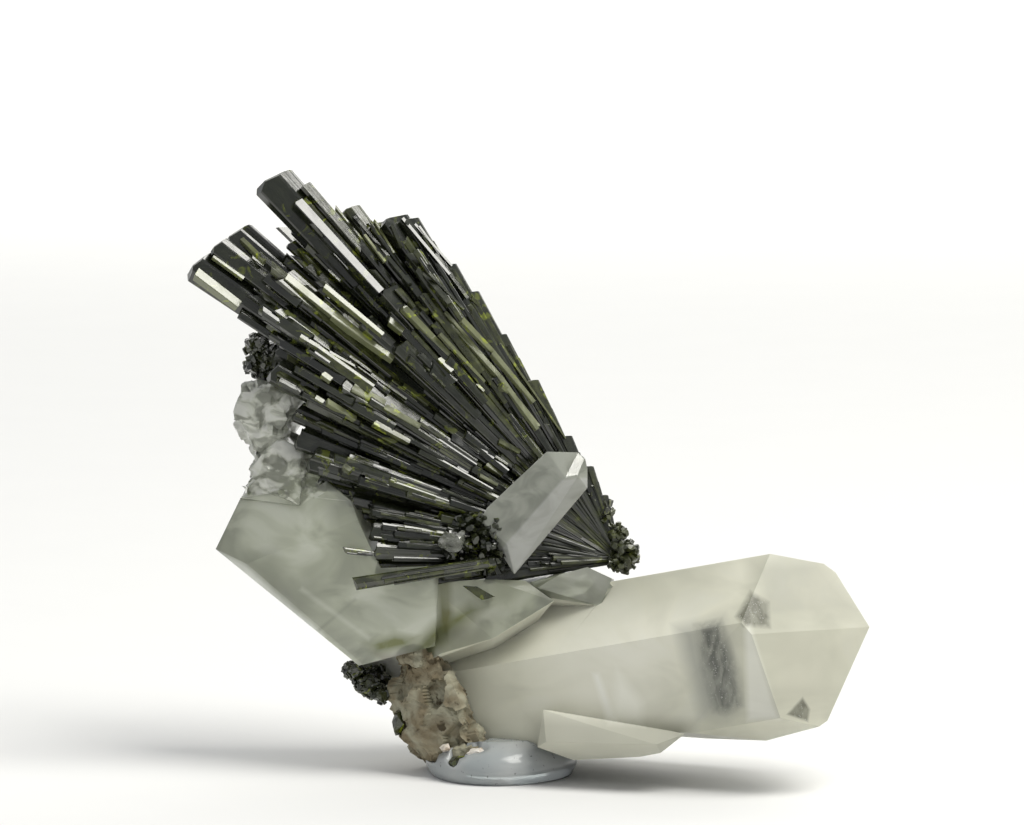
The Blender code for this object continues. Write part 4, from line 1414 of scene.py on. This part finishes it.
@dataclass(frozen=True)
class Lumps:
    """A stony piece made rough: its CAD solid cut finer, with its skin pushed in and out.

    The grain is the longest edge that stays, in millimetres, and the cell is the size of the lumps. Spikes
    are stubby crystals on it.
    """

    node: str
    slot: str
    finish: EpidoteFinish | StoneFinish
    grain: float = 0.5
    depth: float = 0.35
    cell: float = 1.4
    blocky: float = 0.0
    spread: float = 1.0
    spikes: int = 0
    spike_size: Range = (0.4, 1.1)
    spike_root: float = 0.6

    def refine(self, shape: Shape) -> None:
        """Widen the piece by its spread, and cut its long edges until none is left or five times.

        Args:
            shape: The piece's working mesh.
        """
        middle = sum(vert.co.x for vert in shape.verts) / len(shape.verts)
        for vert in shape.verts:
            vert.co.x = middle + (vert.co.x - middle) * self.spread
        for _ in range(5):
            long = [edge for edge in shape.edges if edge.calc_length() > self.grain * MM]
            if not long:
                break
            bmesh.ops.subdivide_edges(shape, edges=long, cuts=1)
            bmesh.ops.triangulate(shape, faces=shape.faces)
        shape.normal_update()

    def push(self, vert: bmesh.types.BMVert) -> Vector:
        """How far the skin moves at a point.

        Args:
            vert: The point.

        Returns:
            The move, in metres.
        """
        place = vert.co / (self.cell * MM)
        rough = noise.fractal(place, 0.8, 2.0, 4) * 0.6 - noise.voronoi(place * 1.3)[0][0] * 0.5
        return vert.normal * ((rough * self.depth + blocks(place * 0.42) * self.blocky) * MM)

    def spiked(self, shape: Shape, rng: random.Random) -> list[Lath]:
        """The stubby crystals on the piece.

        Args:
            shape: The piece's working mesh.
            rng: Where the chances come from.

        Returns:
            The crystals.
        """
        shape.faces.ensure_lookup_table()
        made = []
        for _ in range(self.spikes):
            face = rng.choice(shape.faces)
            way = (face.normal + chance(rng, 0.6)).normalized()
            width = rng.uniform(*self.spike_size) * MM
            base = face.calc_center_median() - way * self.spike_root * MM
            tip = base + way * (self.spike_root * MM + width * rng.uniform(0.2, 0.6))
            made.append(Lath(base, tip, width, rng.uniform(0, 360), rng.choice((DARK, BRIGHT, RIDGED)), 0.95,
                             rng.uniform(0.0, 0.8)))
        return made

    def make(self) -> None:
        """Build the piece."""
        shape = copy_of(self.node)
        self.refine(shape)
        moves = [self.push(vert) for vert in shape.verts]
        for vert, move in zip(shape.verts, moves):
            vert.co += move
        tone = shape.faces.layers.float.new("lath_tone")
        for face in shape.faces:
            face[tone] = 0.5 + 0.5 * noise.noise(face.calc_center_median() / (1.6 * MM))
        if self.spikes:
            pile = LathPile()
            pile.take(self.spiked(shape, random.Random(len(self.node))))
            spikes = pile.mesh("spikes")
            shape.from_mesh(spikes)
            bpy.data.meshes.remove(spikes)
        settle(self.node + "_rough", to_mesh(shape, self.node), [self.finish.make()], self.node)


@dataclass(frozen=True)
class Pad:
    """The soft clear pad, pressed to the shape of what stands on it.

    Its profile is flat over the top, up to the shoulder, and then turns down and under to the foot.
    """

    half: tuple[float, float] = (10.6, 10.4)
    height: float = 5.6
    sides: int = 96
    rings: int = 40
    top_share: float = 0.55
    shoulder: float = 0.62
    turn: float = math.radians(118.0)
    tuck: float = 0.14
    gap: float = 0.05
    carried: tuple[str, ...] = ("quartz_crystals", "matrix_rock", "epidote_foot", "feldspar_large")
    finish: GelFinish = GelFinish("mounting_gel")

    def profile(self, share: float) -> tuple[float, float]:
        """The pad's outline from its middle over the top to its foot.

        Args:
            share: 0 at the middle of the top, 1 at the foot's edge.

        Returns:
            The distance out, for a pad with a half width of one, and the height in millimetres.
        """
        if share < self.top_share:
            return share / self.top_share * self.shoulder, self.height
        down = (share - self.top_share) / (1 - self.top_share)
        turn = down * self.turn
        out = self.shoulder + (1 - self.shoulder) * math.sin(min(turn, QUARTER))
        if turn > QUARTER:
            out -= self.tuck * (1 - math.cos((turn - QUARTER) * 3.2)) / 2
        return out, self.height * (0.64 * math.cos(down * QUARTER) + 0.36 * (1 - down))

    def pressed(self, place: Vector, trees: Sequence[BVHTree]) -> Vector:
        """Lower a place until it is under everything that stands above it.

        Args:
            place: The place, in metres.
            trees: The pieces that stand on the pad.

        Returns:
            The lowered place.
        """
        top = max(place.z, 0.0)
        for tree in trees:
            hit = tree.ray_cast(Vector((place.x, place.y, -MM)), Vector((0, 0, 1)))[0]
            if hit is not None:
                top = min(top, hit.z - self.gap * MM)
        return Vector((place.x, place.y, max(top, 0.0)))

    def make(self) -> None:
        """Build the pad."""
        carried = [copy_of(node) for node in self.carried]
        trees = [BVHTree.FromBMesh(piece) for piece in carried]
        shape = bmesh.new()
        rows = []
        for ring in range(1, self.rings + 1):
            out, height = self.profile(ring / self.rings)
            row = []
            for side in range(self.sides):
                turn = 2 * math.pi * side / self.sides
                ripple = out * (1 + 0.03 * math.sin(3 * turn + 0.7))
                x, y = self.half[0] * ripple * math.cos(turn), self.half[1] * ripple * math.sin(turn)
                row.append(shape.verts.new(self.pressed(Vector((x, y, height)) * MM, trees)))
            rows.append(row)
        join_rings(shape, rows)
        middle = shape.verts.new(self.pressed(Vector((0, 0, self.height)) * MM, trees))
        for side in range(self.sides):
            shape.faces.new((middle, rows[0][side], rows[0][(side + 1) % self.sides]))
        shape.faces.new(rows[-1][::-1])
        bmesh.ops.recalc_face_normals(shape, faces=shape.faces)
        for used in carried:
            used.free()
        settle("gel_pad", to_mesh(shape, "gel_pad", True), [self.finish.make()], "mounting_pad")


@dataclass(frozen=True)
class Lamp:
    """A soft light: where it is from the piece as the viewer sees it, how far, its size and its power.

    Distances and sizes are in metres, and the power is in watts.
    """

    name: str
    toward: Place
    distance: float
    size: tuple[float, float]
    power: float


@dataclass(frozen=True)
class Studio:
    """The pale floor, the soft lights and the camera.

    The frame's width and its centre are in millimetres, and all other lengths are in metres. The sweep is a
    narrow light on the paper far behind the piece.
    """

    distance: float = 1.2
    frame_width: float = 143.4
    centre: tuple[float, float] = (1.68, 52.01)
    sensor: float = 36.0
    warmth: Place = (1.0, 0.985, 0.93)
    floor_start: float = 0.4
    floor_flat: float = 2.3
    floor_rise: float = 0.9
    steps: int = 10
    sides: int = 72
    lamps: tuple[Lamp, ...] = (
        Lamp("key", (0.45, -0.38, 0.81), 0.62, (0.39, 0.32), 3.7),
        Lamp("side", (-0.92, -0.05, 0.4), 0.9, (0.3, 0.8), 0.8),
        Lamp("behind", (0.1, 0.75, 0.65), 0.9, (1.3, 0.8), 4.6),
    )
    sweep: Lamp = Lamp("sweep", (0.0, 1.3, 0.9), 1.0, (0.9, 0.7), 4.5)
    sweep_angle: float = math.radians(60.0)
    room: Place = (0.9, 0.92, 0.95)
    room_strength: float = 0.46

    def floor(self) -> None:
        """Lay the round paper, which curves up far out on all sides."""
        shape = bmesh.new()
        curve = [(self.floor_start, 0.0), (self.floor_flat, 0.0)]
        for step in range(1, self.steps + 1):
            turn = QUARTER * step / self.steps
            rise = self.floor_rise
            curve.append((self.floor_flat + rise * math.sin(turn), rise * (1 - math.cos(turn))))
        turns = [2 * math.pi * side / self.sides for side in range(self.sides)]
        rows = [
            [shape.verts.new((out * math.cos(turn), out * math.sin(turn), height)) for turn in turns]
            for out, height in curve
        ]
        join_rings(shape, rows)
        shape.faces.new(rows[0])
        data = to_mesh(shape, "paper", True)
        data.materials.append(PaperFinish("paper").make())
        paper = bpy.data.objects.new("paper", data)
        bpy.context.scene.collection.objects.link(paper)

    def hang(self, lamp: Lamp) -> bpy.types.Object:
        """Hang a lamp at the origin, facing down.

        Args:
            lamp: The lamp.

        Returns:
            The light's object, to be moved.
        """
        data = bpy.data.lights.new(lamp.name, "AREA")
        data.shape = "RECTANGLE"
        data.size, data.size_y = lamp.size
        data.energy = lamp.power
        data.color = self.warmth
        holder = bpy.data.objects.new(lamp.name, data)
        bpy.context.scene.collection.objects.link(holder)
        return holder

    def light(self) -> None:
        """Hang the lamps round the piece, and the sweep straight above the far paper."""
        for lamp in self.lamps:
            holder = self.hang(lamp)
            away = turned(*lamp.toward)
            holder.location = seen(0.0, 0.0, 40.0) + away * lamp.distance
            holder.rotation_euler = away.to_track_quat("Z", "Y").to_euler()
        holder = self.hang(self.sweep)
        holder.location = self.sweep.toward
        holder.data.spread = self.sweep_angle
        world = bpy.data.worlds.new("room")
        world.use_nodes = True
        background = world.node_tree.nodes["Background"].inputs
        background["Color"].default_value = (*self.room, 1.0)
        background["Strength"].default_value = self.room_strength
        bpy.context.scene.world = world

    def camera(self) -> None:
        """Stand the camera where the piece is seen from in front and a little above."""
        data = bpy.data.cameras.new("camera")
        data.sensor_width = self.sensor
        data.lens = self.sensor * self.distance / (self.frame_width * MM)
        holder = bpy.data.objects.new("camera", data)
        look, up = turned(0.0, 1.0, 0.0), turned(0.0, 0.0, 1.0)
        place = seen(self.centre[0], 0.0, self.centre[1]) - look * self.distance
        turn = Matrix((Vector((1.0, 0.0, 0.0)), up, -look)).transposed().to_4x4()
        holder.matrix_world = Matrix.Translation(place) @ turn
        bpy.context.scene.collection.objects.link(holder)
        bpy.context.scene.camera = holder

    def make(self) -> None:
        """Set up everything round the piece."""
        self.floor()
        self.light()
        self.camera()
        bpy.context.scene.view_settings.view_transform = "Standard"
        paths = bpy.context.scene.cycles
        paths.max_bounces = paths.transmission_bounces = 5
        paths.diffuse_bounces = paths.glossy_bounces = 2
        paths.caustics_refractive = paths.caustics_reflective = False
        paths.adaptive_threshold = 0.02


def main() -> None:
    """Build the whole piece and its surroundings in order."""
    epidote = EpidoteFinish("epidote_rough", grooved=False, olive=(0.07, 0.08, 0.02))
    rock = StoneFinish("rusty_rock", (0.20, 0.165, 0.10), (0.35, 0.335, 0.245), (0.06, 0.045, 0.02), 0.75)
    white = StoneFinish("white_feldspar", (0.74, 0.71, 0.66), (0.60, 0.54, 0.46), (0.42, 0.33, 0.24), 0.6)
    pieces = (
        QuartzGroup(),
        Spray(),
        Lumps("epidote_crust", "epidote", epidote, spikes=150, spike_size=(0.6, 1.3)),
        Lumps("epidote_underside", "epidote", epidote, spikes=130, spike_size=(0.5, 1.0)),
        Lumps("epidote_flake", "epidote", epidote, grain=0.3, depth=0.1, spread=1.7),
        Lumps("epidote_chip", "epidote", epidote, grain=0.4, depth=0.15),
        Lumps("epidote_foot", "epidote", epidote, grain=0.4, depth=0.2),
        Lumps("matrix_rock", "rock", rock, grain=0.45, depth=0.6, cell=1.5, blocky=2.4),
        Lumps("feldspar_small", "feldspar", white, grain=0.3, depth=0.15),
        Lumps("feldspar_large", "feldspar", white, grain=0.3, depth=0.2),
        Pad(),
        Studio(),
    )
    for piece in pieces:
        piece.make()
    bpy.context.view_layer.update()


if __name__ == "__main__":
    main()
